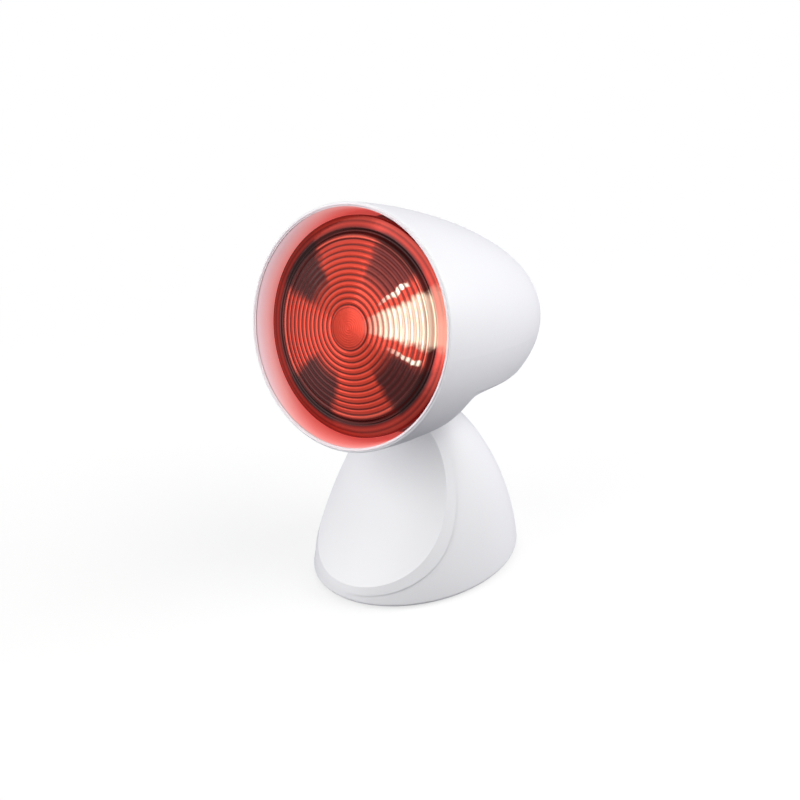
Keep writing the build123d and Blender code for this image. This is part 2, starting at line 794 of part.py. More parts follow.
def hinge_cover():
    """The belly cover: recessed skin, ledge flange, screw posts and the two hinge ears."""
    first, last = belly_first + belly_gap, belly_last - belly_gap
    span = block(-rim_radius, rim_radius, first, last, -rim_radius, rim_radius)
    top = belly_level + belly_flange
    ledge_low = belly_level - belly_gap
    below = block(-rim_radius, rim_radius, 0, head_length, -rim_radius, ledge_low)
    slab = block(-rim_radius, rim_radius, 0, head_length, ledge_low, top)
    outside = belly_body(0) & span
    ledge = egg(-head_wall - belly_gap) & slab & span
    cover = (outside & below) + ledge - belly_body(belly_wall)
    posts = Part()
    for x, s in belly_screws:
        for side in (-1, 1):
            posts += along_z(belly_post_radius, -rim_radius, top, side * x, s)
    cover += outside & posts
    cover += outside & hinge_ears()
    cover -= post_slot()
    for x, s in belly_screws:
        for side in (-1, 1):
            cover -= along_z(screw_radius + fit, -rim_radius, top + 1, side * x, s)
            seat = -sqrt(belly_radius(s) ** 2 - x**2) + belly_counterbore
            cover -= along_z(screw_head_radius + 0.3, -rim_radius, seat, side * x, s)
    pin_reach = ear_end + pin_head_height
    return cover - along_x(pin_radius + running_fit, -pin_reach, pin_reach, hinge_s, hinge_u)


def post_slot():
    """Room for the post from its place at the lowest tilt to its place at the highest."""
    depth = belly_radius(hinge_s) + hinge_u
    low, high = radians(head_tilt - tilt_reach), radians(head_tilt + tilt_reach)
    front = post_thick / 2 / cos(low) - depth * tan(low) + slot_play
    back = post_thick / 2 / cos(high) + depth * tan(high) + slot_play
    half = post_width / 2 + slot_play
    return block(-half, half, hinge_s - front, hinge_s + back, -rim_radius, hinge_u)


def hinge_ears():
    ears = Part()
    for side in (-1, 1):
        near, far = side * ear_start, side * ear_end
        ears += along_x(ear_radius, near, far, hinge_s, hinge_u)
        half = ear_radius
        ears += block(min(near, far), max(near, far), hinge_s - half, hinge_s + half, -rim_radius, hinge_u)
    return ears


def belly_screw_set():
    screws = []
    for x, s in belly_screws:
        seat = -sqrt(belly_radius(s) ** 2 - x**2) + belly_counterbore
        length = belly_level + belly_flange + shelf_step + shelf_thick - seat + screw_head_height
        for side in (-1, 1):
            screws.append(Pos(side * x, s, 0) * screw(length, seat - screw_head_height))
    return screws


def rear_cap():
    """The slightly proud louvred cap at the back end."""
    start, end = cap_start + cap_gap, head_length + 5
    behind = block(-rim_radius, rim_radius, start, end, -rim_radius, rim_radius)
    cap = (egg(cap_proud) - egg(cap_proud - cap_wall)) & behind
    bore = head_radius(cap_start - cap_spigot_depth, -head_wall) - cap_spigot_wall
    opening = head_radius(cap_start, -head_wall) - cap_gap
    spigot = along_y(opening, cap_start - cap_spigot_depth, cap_start + 4)
    spigot -= along_y(bore, 0, end)
    cap += spigot & egg()
    first = -(louvre_count - 1) / 2 * louvre_pitch
    for i in range(louvre_count):
        u = first + i * louvre_pitch
        half = sqrt((louvre_length / 2) ** 2 - u**2)
        low, high = u - louvre_width / 2, u + louvre_width / 2
        cap -= block(-half, half, cap_start + louvre_start, end, low, high)
    return cap


# ---------------------------------------------------------------- bulb, drawn level
def sphere_sag(radius, sphere):
    return sphere - sqrt(sphere**2 - radius**2)


def bulb_lens():
    """Pressed front glass: a shallow dome with a flat flange at its edge."""
    edge = lens_set_back + sphere_sag(lens_radius, lens_sphere)
    front = Pos(0, lens_set_back + lens_sphere, 0) * Sphere(lens_sphere)
    back = Pos(0, lens_set_back + lens_sphere, 0) * Sphere(lens_sphere - lens_thick)
    disc = along_y(lens_radius, -1, edge + flange_thick)
    lens = (disc & front) - back
    rim = along_y(lens_radius, edge, edge + flange_thick) - along_y(lens_radius - flange_wall, 0, head_length)
    return lens + (rim & front)


lens_back = lens_set_back + sphere_sag(lens_radius, lens_sphere) + flange_thick


def bulb_reflector():
    """The glass bowl behind the lens, open at the front, with a short neck."""
    shoulder = lens_radius - bowl_shoulder
    neck = bowl_points[-1][0] - neck_taper
    outer = [
        Line((0, lens_back), (shoulder, lens_back)),
        Line((shoulder, lens_back), bowl_points[0]),
        Spline(*bowl_points),
        Line(bowl_points[-1], (neck, neck_end)),
        Line((neck, neck_end), (0, neck_end)),
        Line((0, neck_end), (0, lens_back)),
    ]
    inner_points = [(r - bowl_thick, s - bowl_shoulder) for r, s in bowl_points]
    inner = [
        Line((0, lens_back - 1), (shoulder - bowl_thick, lens_back - 1)),
        Line((shoulder - bowl_thick, lens_back - 1), inner_points[0]),
        Spline(*inner_points),
        Line(inner_points[-1], (0, inner_points[-1][1])),
        Line((0, inner_points[-1][1]), (0, lens_back - 1)),
    ]
    return revolve(make_face(outer), Axis.Y) - revolve(make_face(inner), Axis.Y)


def bulb_cap():
    sleeve = along_y(bulb_cap_radius, neck_end, cap_end)
    return sleeve - along_y(bulb_cap_radius - bulb_cap_wall, neck_end - 1, cap_end - 1)


def bulb_insulator():
    end = cap_end + insulator_length
    return turned([(0, cap_end), (bulb_cap_radius - 1, cap_end), (insulator_radius - 2, end), (0, end)])


def bulb_contact():
    start = cap_end + insulator_length
    return along_y(contact_radius, start, start + contact_length)


def filament():
    """A coiled filament bent to an open loop across the axis."""
    loop = CenterArc((0, 0), filament_loop, 210, 300)
    ring = sweep(Plane(origin=loop @ 0, z_dir=loop % 0) * Circle(filament_radius), loop)
    return Pos(0, filament_set_back, 0) * Rot(90, 0, 0) * ring


def filament_supports():
    supports = []
    for angle in (210, 330):
        x, u = polar(filament_loop, angle)
        supports.append(along_y(support_radius, filament_set_back + filament_radius + 0.1, stem_start, -x, u))
    return supports


def glass_stem():
    """The glass stem in the neck that carries the filament's supports."""
    end = bowl_depths[-1] - bowl_shoulder
    neck = stem_start + stem_flare
    plug = along_y(stem_radius, neck, end)
    return plug + turned([(0, stem_start), (filament_loop + 1.5, stem_start), (stem_radius, neck), (0, neck)])


# ---------------------------------------------------------------- lamp holder, drawn level
def lamp_holder():
    """Ceramic body with a flange behind the bracket."""
    body = along_y(holder_radius, holder_start, holder_end)
    seat = bracket_start + bracket_thick
    body += along_y(holder_flange_radius, seat, seat + holder_flange_thick)
    body -= along_y(bulb_cap_radius + thread_gap + thread_thick + fit, 0, contact_end + contact_room)
    for angle in holder_screw_angles:
        x, u = polar(holder_screw_radius, angle)
        body -= along_y(screw_radius + fit, bracket_start, holder_end, x, u)
    sink = -holder_radius + holder_cable_sink
    return body - along_z(cable_radius + fit, -holder_radius - 2, sink, 0, holder_cable_s)


def thread_shell():
    radius = bulb_cap_radius + thread_gap
    return along_y(radius + thread_thick, holder_start + 1, cap_end - 1) - along_y(radius, 0, head_length)


def holder_contact():
    """The sprung tongue behind the bulb's end contact."""
    start = contact_end + contact_play
    first, last, width, thick = contact_tongue
    return block(first, last, start, start + thick, -width / 2, width / 2)


def screws_on_bracket(radius, angles, bite):
    """Screws with their heads in front of the bracket, at angles on one circle."""
    screws = []
    for angle in angles:
        x, u = polar(radius, angle)
        place = Pos(x, bracket_start, u) * Rot(-90, 0, 0)
        screws.append(place * screw(screw_head_height + bite, -screw_head_height))
    return screws


def holder_bracket():
    """Pressed steel ring that carries the lamp holder."""
    plate = along_y(bracket_radius, bracket_start, bracket_start + bracket_thick)
    plate -= along_y(holder_radius + 0.4, 0, head_length)
    for angle in bracket_screw_angles:
        x, u = polar(bracket_screw_radius, angle)
        plate -= along_y(screw_radius + fit, 0, head_length, x, u)
    for angle in holder_screw_angles:
        x, u = polar(holder_screw_radius, angle)
        plate -= along_y(screw_radius + fit, 0, head_length, x, u)
    return plate - along_y(cable_hole_radius, 0, head_length, 0, cable_hole_up)


def heat_shield():
    """Thin aluminium cone between the hot bowl and the hinge, on the bracket."""
    front = bowl_radius(shield_start) + shield_gap
    waist = bowl_radius(shield_waist) + shield_gap
    back = bracket_start
    t, tail, edge = shield_thick, shield_tail, shield_flange
    inside = [(front, shield_start), (waist, shield_waist), (tail, back - t), (edge, back - t)]
    outside = [(edge, back), (tail + t, back), (waist + t, shield_waist), (front + t, shield_start)]
    return Rot(0, shield_seam_angle, 0) * turned(inside + outside)


def head_cable():
    """From the hinge axis up and back, through the bracket, to the lamp holder's side."""
    rise = radians(45.0 + head_tilt)
    way = (cos(rise), sin(rise))
    near = (hinge_s + cable_reach * way[0], hinge_u + cable_reach * way[1])
    bend = (hinge_s + cable_straight * way[0], hinge_u + cable_straight * way[1])
    back = (bracket_start - cable_level_run, cable_hole_up)
    end = (holder_cable_s, -holder_radius + holder_cable_sink)
    runs = [near, bend, back, (holder_cable_s, cable_hole_up), end]
    path = [(0, s, u) for s, u in runs]
    return tube(path, cable_radius, head_cable_bend) + Pos(0, *near) * Sphere(cable_radius)


# ---------------------------------------------------------------- every node
save("base_shell", base_shell())
save("front_panel", front_panel())
save("bottom_plate", bottom_plate())
save("base_screws", *base_screws())
save("rubber_feet", *rubber_feet())
save("ballast_plate", ballast_plate())
save("ballast_screws", *ballast_screws())
save("hinge_post", hinge_post())
save("post_screws", *post_screws())
save("hinge_pins", *hinge_pins())
save("friction_washers", *friction_washers())
save("cable_gland", cable_gland())
save("gland_nut", gland_nut())
save("terminal_block", terminal_block())
save("terminal_screws", *terminal_screws())
save("switch_body", switch_body())
save("switch_rocker", switch_rocker())
save("switch_tabs", *switch_tabs())
save("switch_leads", *switch_leads())
save("base_cable", base_cable())

head_nodes = {
    "head_shell": [head_shell()],
    "shade_liner": [shade_liner()],
    "hinge_cover": [hinge_cover()],
    "hinge_cover_screws": belly_screw_set(),
    "rear_cap": [rear_cap()],
    "bulb_lens": [bulb_lens()],
    "bulb_reflector": [bulb_reflector()],
    "bulb_cap": [bulb_cap()],
    "bulb_insulator": [bulb_insulator()],
    "bulb_contact": [bulb_contact()],
    "filament": [filament()],
    "filament_supports": filament_supports(),
    "glass_stem": [glass_stem()],
    "lamp_holder": [lamp_holder()],
    "thread_shell": [thread_shell()],
    "holder_contact": [holder_contact()],
    "holder_bracket": [holder_bracket()],
    "bracket_screws": screws_on_bracket(bracket_screw_radius, bracket_screw_angles, bracket_screw_bite),
    "holder_screws": screws_on_bracket(holder_screw_radius, holder_screw_angles, holder_screw_bite),
    "heat_shield": [heat_shield()],
    "head_cable": [head_cable()],
}
for node, pieces in head_nodes.items():
    save(node, *[head_place * piece for piece in pieces])
save("spring_washers", *spring_washers())
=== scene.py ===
import math

import bmesh
import bpy
from mathutils import Matrix, Vector


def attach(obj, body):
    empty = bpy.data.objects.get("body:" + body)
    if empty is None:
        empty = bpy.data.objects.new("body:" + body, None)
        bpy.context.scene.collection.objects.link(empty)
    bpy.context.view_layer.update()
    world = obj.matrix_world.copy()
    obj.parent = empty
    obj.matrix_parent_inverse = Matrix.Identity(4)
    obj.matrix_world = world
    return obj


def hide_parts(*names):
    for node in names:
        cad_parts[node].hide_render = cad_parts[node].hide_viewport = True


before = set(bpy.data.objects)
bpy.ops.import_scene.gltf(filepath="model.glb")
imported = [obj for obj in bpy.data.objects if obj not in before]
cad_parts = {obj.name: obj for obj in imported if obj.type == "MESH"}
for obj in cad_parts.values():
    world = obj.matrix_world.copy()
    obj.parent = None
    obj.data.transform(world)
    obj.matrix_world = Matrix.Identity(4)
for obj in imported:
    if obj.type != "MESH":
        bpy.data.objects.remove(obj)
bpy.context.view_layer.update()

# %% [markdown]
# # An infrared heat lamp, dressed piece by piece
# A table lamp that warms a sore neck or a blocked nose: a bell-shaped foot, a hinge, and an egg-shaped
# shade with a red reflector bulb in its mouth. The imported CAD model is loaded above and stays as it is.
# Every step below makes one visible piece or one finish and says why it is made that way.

MM = 0.001

# %% [markdown]
# ## Where things are
# The foot stands on the table with its middle at the origin, and the lamp looks towards -Y. The head is
# easier to draw level: its own axis runs from the rim plane (distance 0) backwards along +Y, and one matrix
# then lifts and tips it. The same matrix, read the other way round, gives the materials of the head their
# coordinates.

# %% The head's place
head_tilt = math.radians(16.4)
rim_centre = Vector((0, -60.7, 169.8))
to_metres = Matrix.Scale(MM, 4)
head_matrix = Matrix.Translation(rim_centre * MM) @ Matrix.Rotation(-head_tilt, 4, "X") @ to_metres
print("head axis points to", [round(v, 3) for v in head_matrix.to_3x3() @ Vector((0, -1000, 0))])

# %% [markdown]
# ## Camera
# The camera looks down a little on the lamp, from its front right. A long lens from more than a metre away
# keeps the shade round and the foot's sides calm.

# %% Camera
view_turn = math.radians(38.41)
view_rise = math.radians(27.0)
view_distance = 1.150
view_target = Vector((0, -0.01566, 0.10813))
film_width, focal_length = 36, 90.94

away = Vector((
    math.sin(view_turn) * math.cos(view_rise),
    -math.cos(view_turn) * math.cos(view_rise),
    math.sin(view_rise),
))
camera_data = bpy.data.cameras.new("camera")
camera_data.sensor_width = film_width
camera_data.lens = focal_length
camera = bpy.data.objects.new("camera", camera_data)
camera.location = view_target + away * view_distance
camera.rotation_euler = away.to_track_quat("Z", "Y").to_euler()
bpy.context.scene.collection.objects.link(camera)
bpy.context.scene.camera = camera
bpy.context.scene.view_settings.view_transform = "Standard"
print("camera at", [round(v, 3) for v in camera.location])

# %% [markdown]
# ## Colours
# Colours are written as the hex values that a paint card would give, and one function turns them into the
# linear numbers that Cycles works in.

# %% Colours


def linear(hex_colour):
    """An sRGB hex colour as linear RGBA."""
    channels = [int(hex_colour[i:i + 2], 16) / 255 for i in (1, 3, 5)]
    return [c / 12.92 if c <= 0.04045 else ((c + 0.055) / 1.055) ** 2.4 for c in channels] + [1]


print("middle grey #808080 is", [round(c, 3) for c in linear("#808080")])

# %% [markdown]
# ## Nodes
# One function adds a node, sets its values and makes its links, so that each material below reads as a list
# of what it is made of. Three settings come back so often that they have names.

# %% One function that adds a node
multiply = {"operation": "MULTIPLY"}
colour_mix = {"data_type": "RGBA"}
soft_range = {"interpolation_type": "SMOOTHSTEP"}


def add_node(tree, kind, settings=None, **links):
    """Adds a node with its settings and links.

    A link is a value, a socket, or a node that gives its first output. It is named after its input, or is
    in0, in1 and so on by the input's number. A Mix of colours has its share at in0 and its two colours at in6
    and in7.
    """
    node = tree.nodes.new("ShaderNode" + kind)
    settings = dict(settings or {})
    stops = settings.pop("stops", ())
    for key, value in settings.items():
        setattr(node, key, value)
    for position, _ in stops[2:]:
        node.color_ramp.elements.new(position)
    for number, (position, colour) in enumerate(stops):
        node.color_ramp.elements[number].position = position
        node.color_ramp.elements[number].color = linear(colour)
    for key, value in links.items():
        socket = node.inputs[int(key[2:])] if key[2:].isdigit() else node.inputs[key.replace("_", " ")]
        if isinstance(value, bpy.types.Node):
            value = next(output for output in value.outputs if output.enabled)
        if isinstance(value, bpy.types.NodeSocket):
            tree.links.new(value, socket)
        else:
            socket.default_value = value
    return node


print("shared settings:", multiply, colour_mix, soft_range)

# %% [markdown]
# ## The start and the end of a material
# Every material starts from the object's own coordinates and ends in a Principled shader. Patterns are
# given in millimetres, and two helpers turn those into what the noise nodes want.

# %% Material helpers
noise_low, noise_high = 0.3, 0.7  # most of a noise node's values lie between these


def new_material(name):
    """An empty node material, its tree, and the object coordinates that its patterns start from."""
    material = bpy.data.materials.new(name)
    material.use_nodes = True
    material.node_tree.nodes.clear()
    return material, material.node_tree, add_node(material.node_tree, "TexCoord").outputs["Object"]


def finish_material(tree, **surface):
    """The Principled shader that a material ends in, and its output."""
    shader = add_node(tree, "BsdfPrincipled", None, **surface)
    add_node(tree, "OutputMaterial", None, Surface=shader)


def per_metre(millimetres):
    """Scale of a pattern whose features are this many millimetres apart, on coordinates in metres."""
    return 1000 / millimetres


def drift(tree, place, millimetres, low, high):
    """A value that wanders softly between low and high over that distance."""
    cloud = add_node(tree, "TexNoise", None, Vector=place, Scale=per_metre(millimetres), Detail=2.0)
    return add_node(tree, "MapRange", None, Value=cloud, From_Min=noise_low, From_Max=noise_high,
                    To_Min=low, To_Max=high)


print("a pattern of 0.5 mm has scale", per_metre(0.5))

# %% [markdown]
# ## The white room
# White goods are shown in a white room. The world is white wherever the camera, a mirror or a clear piece
# looks at it, and a fifth as bright as a light source, so that the lamps can still shape the object.

# %% World
room_light = 0.2
world = bpy.data.worlds.new("white_room")
bpy.context.scene.world = world
world.use_nodes = True
world.node_tree.nodes.clear()


def seen_directly(tree):
    """1 where a camera, glossy or transmission ray arrives, 0 for rays that carry the room's soft light."""
    path = add_node(tree, "LightPath")
    first = add_node(tree, "Math", {"operation": "MAXIMUM"},
                     in0=path.outputs["Is Camera Ray"], in1=path.outputs["Is Glossy Ray"])
    return add_node(tree, "Math", {"operation": "MAXIMUM"},
                    in0=first, in1=path.outputs["Is Transmission Ray"])


strength = add_node(world.node_tree, "MapRange", None,
                    Value=seen_directly(world.node_tree), To_Min=room_light, To_Max=1.0)
background = add_node(world.node_tree, "Background", None, Color=linear("#ffffff"), Strength=strength)
add_node(world.node_tree, "OutputWorld", None, Surface=background)
print("room light", room_light)

# %% [markdown]
# ## The floor
# The floor is a wide disc. The camera sees mostly white with the object's soft shadow in it, and further
# out only white, so that the floor has no edge. The light that comes back up from it is darker, so that
# undersides keep their tone.

# %% Floor
floor_reach, floor_sides = 6.0, 96
bm = bmesh.new()
bmesh.ops.create_circle(bm, cap_ends=True, radius=floor_reach, segments=floor_sides)
floor_mesh = bpy.data.meshes.new("floor")
bm.to_mesh(floor_mesh)
bm.free()
floor = bpy.data.objects.new("floor", floor_mesh)
bpy.context.scene.collection.objects.link(floor)
print("floor reaches", floor_reach, "m")

# %% [markdown]
# ## The floor's paint
# Matt paint takes the shadow. White light from the paint itself is mixed in, to 70 % near the lamp and
# fully from half a metre on, but only for the rays that look straight at the floor.

# %% Floor paint
shadow_share = 0.3
shadow_start, shadow_end = 0.12, 0.5  # metres from the middle, over which the shadow fades out

floor_paint, tree, place = new_material("pale_floor")
seen = seen_directly(tree)
distance = add_node(tree, "VectorMath", {"operation": "LENGTH"}, in0=place).outputs["Value"]
white_share = add_node(tree, "MapRange", soft_range, Value=distance,
                       From_Min=shadow_start, From_Max=shadow_end, To_Min=1 - shadow_share, To_Max=1.0)
glow_share = add_node(tree, "Math", multiply, in0=seen, in1=white_share)
paint = add_node(tree, "Mix", colour_mix, in0=seen, in6=linear("#64646c"), in7=linear("#ffffff"))
matt = add_node(tree, "BsdfDiffuse", None, Color=paint)
glow = add_node(tree, "Emission", None, Color=linear("#ffffff"), Strength=1.0)
both = add_node(tree, "MixShader", None, in0=glow_share, in1=matt, in2=glow)
add_node(tree, "OutputMaterial", None, Surface=both)
floor_mesh.materials.append(floor_paint)
print("floor paint:", len(tree.nodes), "nodes")

# %% [markdown]
# ## Lamps
# Six soft boxes. A small low one in front draws a real reflection on the ribs of the glass, over the cream
# highlight painted into the glass. The other five are large, so that their reflections have no edges. The key
# stands just left of the lamp's own direction and lights the panel, two at the sides lift the foot, and two
# behind lift the shade. Little light comes from where the camera stands, so the white plastic turns a shade
# darker towards the viewer.

# %% Soft boxes
lamp_aim = Vector((0, 0, 0.11))


def soft_box(name, turn, rise, distance, width, height, power):
    """An area lamp on a sphere round the object, facing its middle. Degrees, metres and watts."""
    turn, rise = math.radians(turn), math.radians(rise)
    direction = Vector((math.sin(turn) * math.cos(rise), -math.cos(turn) * math.cos(rise), math.sin(rise)))
    data = bpy.data.lights.new(name, "AREA")
    data.shape = "RECTANGLE"
    data.size, data.size_y = width, height
    data.energy = power
    lamp = bpy.data.objects.new(name, data)
    lamp.location = lamp_aim + direction * distance
    lamp.rotation_euler = direction.to_track_quat("Z", "Y").to_euler()
    bpy.context.scene.collection.objects.link(lamp)


soft_box("box_front", 2, 6, 1.2, 0.6, 0.5, 1.8)
soft_box("box_key", -15, 25, 1.6, 1.3, 1.3, 15.0)
soft_box("box_left", -62, 28, 1.6, 1.3, 1.3, 4.5)
soft_box("box_right", 95, 55, 1.6, 1.3, 1.3, 7.5)
soft_box("box_back_right", 135, 25, 1.6, 1.3, 1.3, 22.0)
soft_box("box_back_left", -130, 30, 1.6, 1.3, 1.3, 5.0)

# %% [markdown]
# ## Turning a profile into a piece
# Most of what shows is round: the glass, the mouth of the shade, the rubber pads and the inlet's bush. Each
# is one outline of (radius, distance) points, spun a full turn about an axis and closed on itself.

# %% Mesh helpers
merge_distance, sliver_length = 1e-6, 1e-7


def spun(outline, steps, axis=(0, 1, 0)):
    """A closed outline of (radius, distance) points, spun about the axis. The result is a new bmesh."""
    bm = bmesh.new()
    along = Vector(axis)
    across = Vector((1, 0, 0))
    corners = [bm.verts.new(across * radius + along * distance) for radius, distance in outline]
    edges = [bm.edges.new(pair) for pair in zip(corners, corners[1:] + corners[:1])]
    bmesh.ops.spin(bm, geom=corners + edges, axis=along, cent=(0, 0, 0), dvec=(0, 0, 0),
                   angle=2 * math.pi, steps=steps, use_merge=True)
    return bm


def finish_piece(name, bm, matrix, body, stands_for=(), crease=35):
    """Puts the drawn mesh in its place in the lamp and makes it ride on a body."""
    bmesh.ops.transform(bm, matrix=matrix, verts=bm.verts)
    bmesh.ops.remove_doubles(bm, verts=bm.verts, dist=merge_distance)
    bmesh.ops.dissolve_degenerate(bm, edges=bm.edges, dist=sliver_length)
    bmesh.ops.recalc_face_normals(bm, faces=bm.faces)
    mesh = bpy.data.meshes.new(name)
    bm.to_mesh(mesh)
    bm.free()
    mesh.polygons.foreach_set("use_smooth", [True] * len(mesh.polygons))
    mesh.set_sharp_from_angle(angle=math.radians(crease))
    piece = bpy.data.objects.new(name, mesh)
    bpy.context.scene.collection.objects.link(piece)
    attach(piece, body)
    if stands_for:
        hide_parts(*stands_for)
    print(name, "has", len(mesh.polygons), "faces")
    return piece


print("points closer than", merge_distance / MM, "mm are merged")

# %% [markdown]
# ## The red glass
# A reflector bulb's front is a shallow dome of pressed glass. Going outwards it has a plain middle, eleven
# round ribs that spread the light, a thin raised ring, a gutter, and the flat flange where the glass is
# sealed to its bowl. The ribs could be a bump in the material. They are real relief, because they draw real
# streaks of light, next to the streaks painted into the glass below, and show from the side too.

# %% Profile of the glass
lens_radius = 60.75
lens_sphere = 211.0
lens_set_back = 0.2
rib_first, rib_pitch, rib_count, rib_depth = 12.5, 3.225, 11, 0.34
ring_start, ring_end, ring_height = 48.0, 50.2, 0.35
gutter_end, gutter_depth = 54.2, 1.3
ripple_pitch, ripple_depth = 1.3, 0.03


def wave(t):
    """0 at whole numbers, 1 halfway between them."""
    return (1 - math.cos(2 * math.pi * t)) / 2


def dome(radius):
    """The plain dome's distance behind the rim plane."""
    return lens_set_back + lens_sphere - math.sqrt(lens_sphere ** 2 - radius ** 2)


def glass_front(radius):
    """The moulded front: the dome with its ribs, ring and gutter."""
    rib_end = rib_first + rib_count * rib_pitch
    if radius < rib_first:
        return dome(radius) + ripple_depth * wave(radius / ripple_pitch)
    if radius < rib_end:
        return dome(radius) + rib_depth * (1 - wave((radius - rib_first) / rib_pitch))
    if radius < ring_end:
        return dome(radius) - ring_height * wave((radius - ring_start) / (ring_end - ring_start))
    if radius < gutter_end:
        return dome(radius) + gutter_depth * wave((radius - ring_end) / (gutter_end - ring_end))
    return dome(radius)


print("the dome is", round(dome(lens_radius) - dome(0), 1), "mm deep")

# %% [markdown]
# The front is drawn in steps much finer than a rib. The back is plain, because only the bowl sees it.

# %% Bulb glass
front_step, back_steps, glass_steps = 0.27, 12, 160
lens_thick = 3.0
flange_thick, flange_wall = 3.6, 3.5
edge_rounding, edge_lift = 0.5, 0.05

front_radii = [i * front_step for i in range(int(lens_radius / front_step))]
front = [(r, glass_front(r)) for r in front_radii]
edge_depth = dome(lens_radius)
edge = [
    (lens_radius - edge_rounding, edge_depth - edge_lift),
    (lens_radius, edge_depth - edge_lift + edge_rounding),
    (lens_radius, edge_depth + flange_thick),
    (lens_radius - flange_wall, edge_depth + flange_thick),
]
back_radii = [(lens_radius - flange_wall) * (1 - i / back_steps) for i in range(back_steps + 1)]
back = [(r, dome(r) + lens_thick) for r in back_radii]
bulb_glass = finish_piece("bulb_glass", spun(front + edge + back, glass_steps), head_matrix, "head",
                          ["bulb_lens"], crease=50)

# %% [markdown]
# ## Places on the head
# Patterns on the glass and the liner follow the head's own axis. So they start from the level head's
# coordinates, and from a radius and an angle about that axis.

# %% Places on the head


def head_level(tree, place):
    """Coordinates of the level head in metres: X across, Y back from the rim plane, Z up."""
    return add_node(tree, "Mapping", {"vector_type": "TEXTURE"}, Vector=place,
                    Location=rim_centre * MM, Rotation=(-head_tilt, 0, 0))


def polar_place(tree, level):
    """Radius in metres and angle in radians about the axis: 0 to the right, a quarter turn at the top."""
    flat = add_node(tree, "VectorMath", multiply, in0=level, in1=(1, 0, 1))
    radius = add_node(tree, "VectorMath", {"operation": "LENGTH"}, in0=flat).outputs["Value"]
    axes = add_node(tree, "SeparateXYZ", None, Vector=level)
    angle = add_node(tree, "Math", {"operation": "ARCTAN2"}, in0=axes.outputs[2], in1=axes.outputs[0])
    return radius, angle


def beam(tree, angle, degrees, soft_degrees, half_degrees):
    """1 inside a sector round the axis at an angle, 0 outside, with a soft edge."""
    turned = add_node(tree, "Math", {"operation": "SUBTRACT"}, in0=angle, in1=math.radians(degrees))
    facing = add_node(tree, "Math", {"operation": "COSINE"}, in0=turned)
    return add_node(tree, "MapRange", soft_range, Value=facing,
                    From_Min=math.cos(math.radians(half_degrees + soft_degrees)),
                    From_Max=math.cos(math.radians(half_degrees)))


def faded(tree, mask, along, start, end, low, high, settings=None):
    """The mask, times a value that goes from low to high while the value along goes from start to end."""
    change = add_node(tree, "MapRange", settings, Value=along,
                      From_Min=start, From_Max=end, To_Min=low, To_Max=high)
    return add_node(tree, "Math", multiply, in0=mask, in1=change)


print("the head is tipped back by", round(math.degrees(head_tilt), 1), "degrees")

# %% [markdown]
# ## Red pressed glass
# The glass is coloured right through and has the mirror of the bowl close behind it, so it is half glass,
# half mirror: the reflection that comes back is red too. Its colour runs in rings, from the plain middle over
# the bright ribs to the dark gutter and the flange. The dark gutter and the darker flange are painted shade,
# and the thin pale ring is a painted highlight, on top of the glass's own red. The edges of the painted
# reflections below waver a little.

# %% Rings of the red glass
waver_pitch, waver_turn = 7.0, 0.2  # millimetres, and radians from one side to the other
# The glass's own red in rings, with painted shade in the gutter and on the flange and a painted highlight on
# the thin ring.
rings_with_painted_shade = [
    (0.0, "#c03420"), (0.15, "#b83420"), (0.173, "#ba3422"), (0.18, "#84221a"), (0.188, "#bc3622"),
    (0.35, "#c23824"), (0.6, "#c03824"), (0.79, "#b03222"), (0.81, "#d05442"), (0.828, "#54120d"),
    (0.885, "#3c0d0a"), (0.9, "#82201a"), (0.925, "#a83226"), (0.95, "#701812"), (0.965, "#a03022"),
    (1.0, "#6c150f"),
]

red_glass, tree, place = new_material("red_pressed_glass")
level = head_level(tree, place)
radius, plain_angle = polar_place(tree, level)
share = add_node(tree, "Math", {"operation": "DIVIDE"}, in0=radius, in1=lens_radius * MM)
waver = add_node(tree, "TexNoise", None, Vector=level, Scale=per_metre(waver_pitch), Detail=3.0)
angle = add_node(tree, "Math", {"operation": "MULTIPLY_ADD"}, in0=waver, in1=waver_turn, in2=plain_angle)
angle = add_node(tree, "Math", {"operation": "SUBTRACT"}, in0=angle, in1=waver_turn / 2)
painted = add_node(tree, "ValToRGB", {"stops": rings_with_painted_shade}, Fac=share)
print("rings of colour:", len(rings_with_painted_shade))

# %% [markdown]
# Four dark fields are painted in between the lighter ones: painted reflections of the dark neck in the bowl's
# mirror. They start a third of the way out and end at the gutter.

# %% Painted dark reflections in the glass
painted_dark_reflections = ((66, 13, 0.8), (152, 12, 0.94), (245, 15, 0.94), (331, 12, 0.94))  # turn, half width, depth
field_softness = 9
field_start, field_full = 0.34, 0.56  # shares of the glass's radius, here and below
field_fade, field_end, field_rest = 0.88, 0.93, 0.2

# Each field is a painted dark reflection of the neck in the bowl's mirror.
for turn, half, depth in painted_dark_reflections:
    painted_reflection_mask = beam(tree, angle, turn, field_softness, half)
    painted_reflection_mask = faded(tree, painted_reflection_mask, share, field_start, field_full, 0.0, depth, soft_range)
    painted_reflection_mask = faded(tree, painted_reflection_mask, share, field_fade, field_end, 1.0, field_rest, soft_range)
    painted = add_node(tree, "Mix", colour_mix, in0=painted_reflection_mask, in6=painted, in7=linear("#280c0d"))
print("dark fields:", len(painted_dark_reflections))

# %% [markdown]
# The brightest field, towards the soft box, is a painted highlight in nearly cream. It opens like a fan from
# the middle, and a painted dotted streak of highlight runs along each of its sides.

# %% The painted cream fan highlight and its streaks
fan_turn, fan_softness, fan_half = 19, 7, 13
fan_start, fan_full = 0.14, 0.55
fan_fade, fan_end, fan_strength, fan_rest = 0.86, 0.9, 0.9, 0.15
painted_streak_lines = ((47, 0.36, 0.74), (-10, 0.42, 0.8))  # degrees, and where each begins and ends
streak_softness, streak_half, streak_strength = 2.6, 0.6, 0.95
streak_full, streak_fade = 0.06, 0.05  # before the end
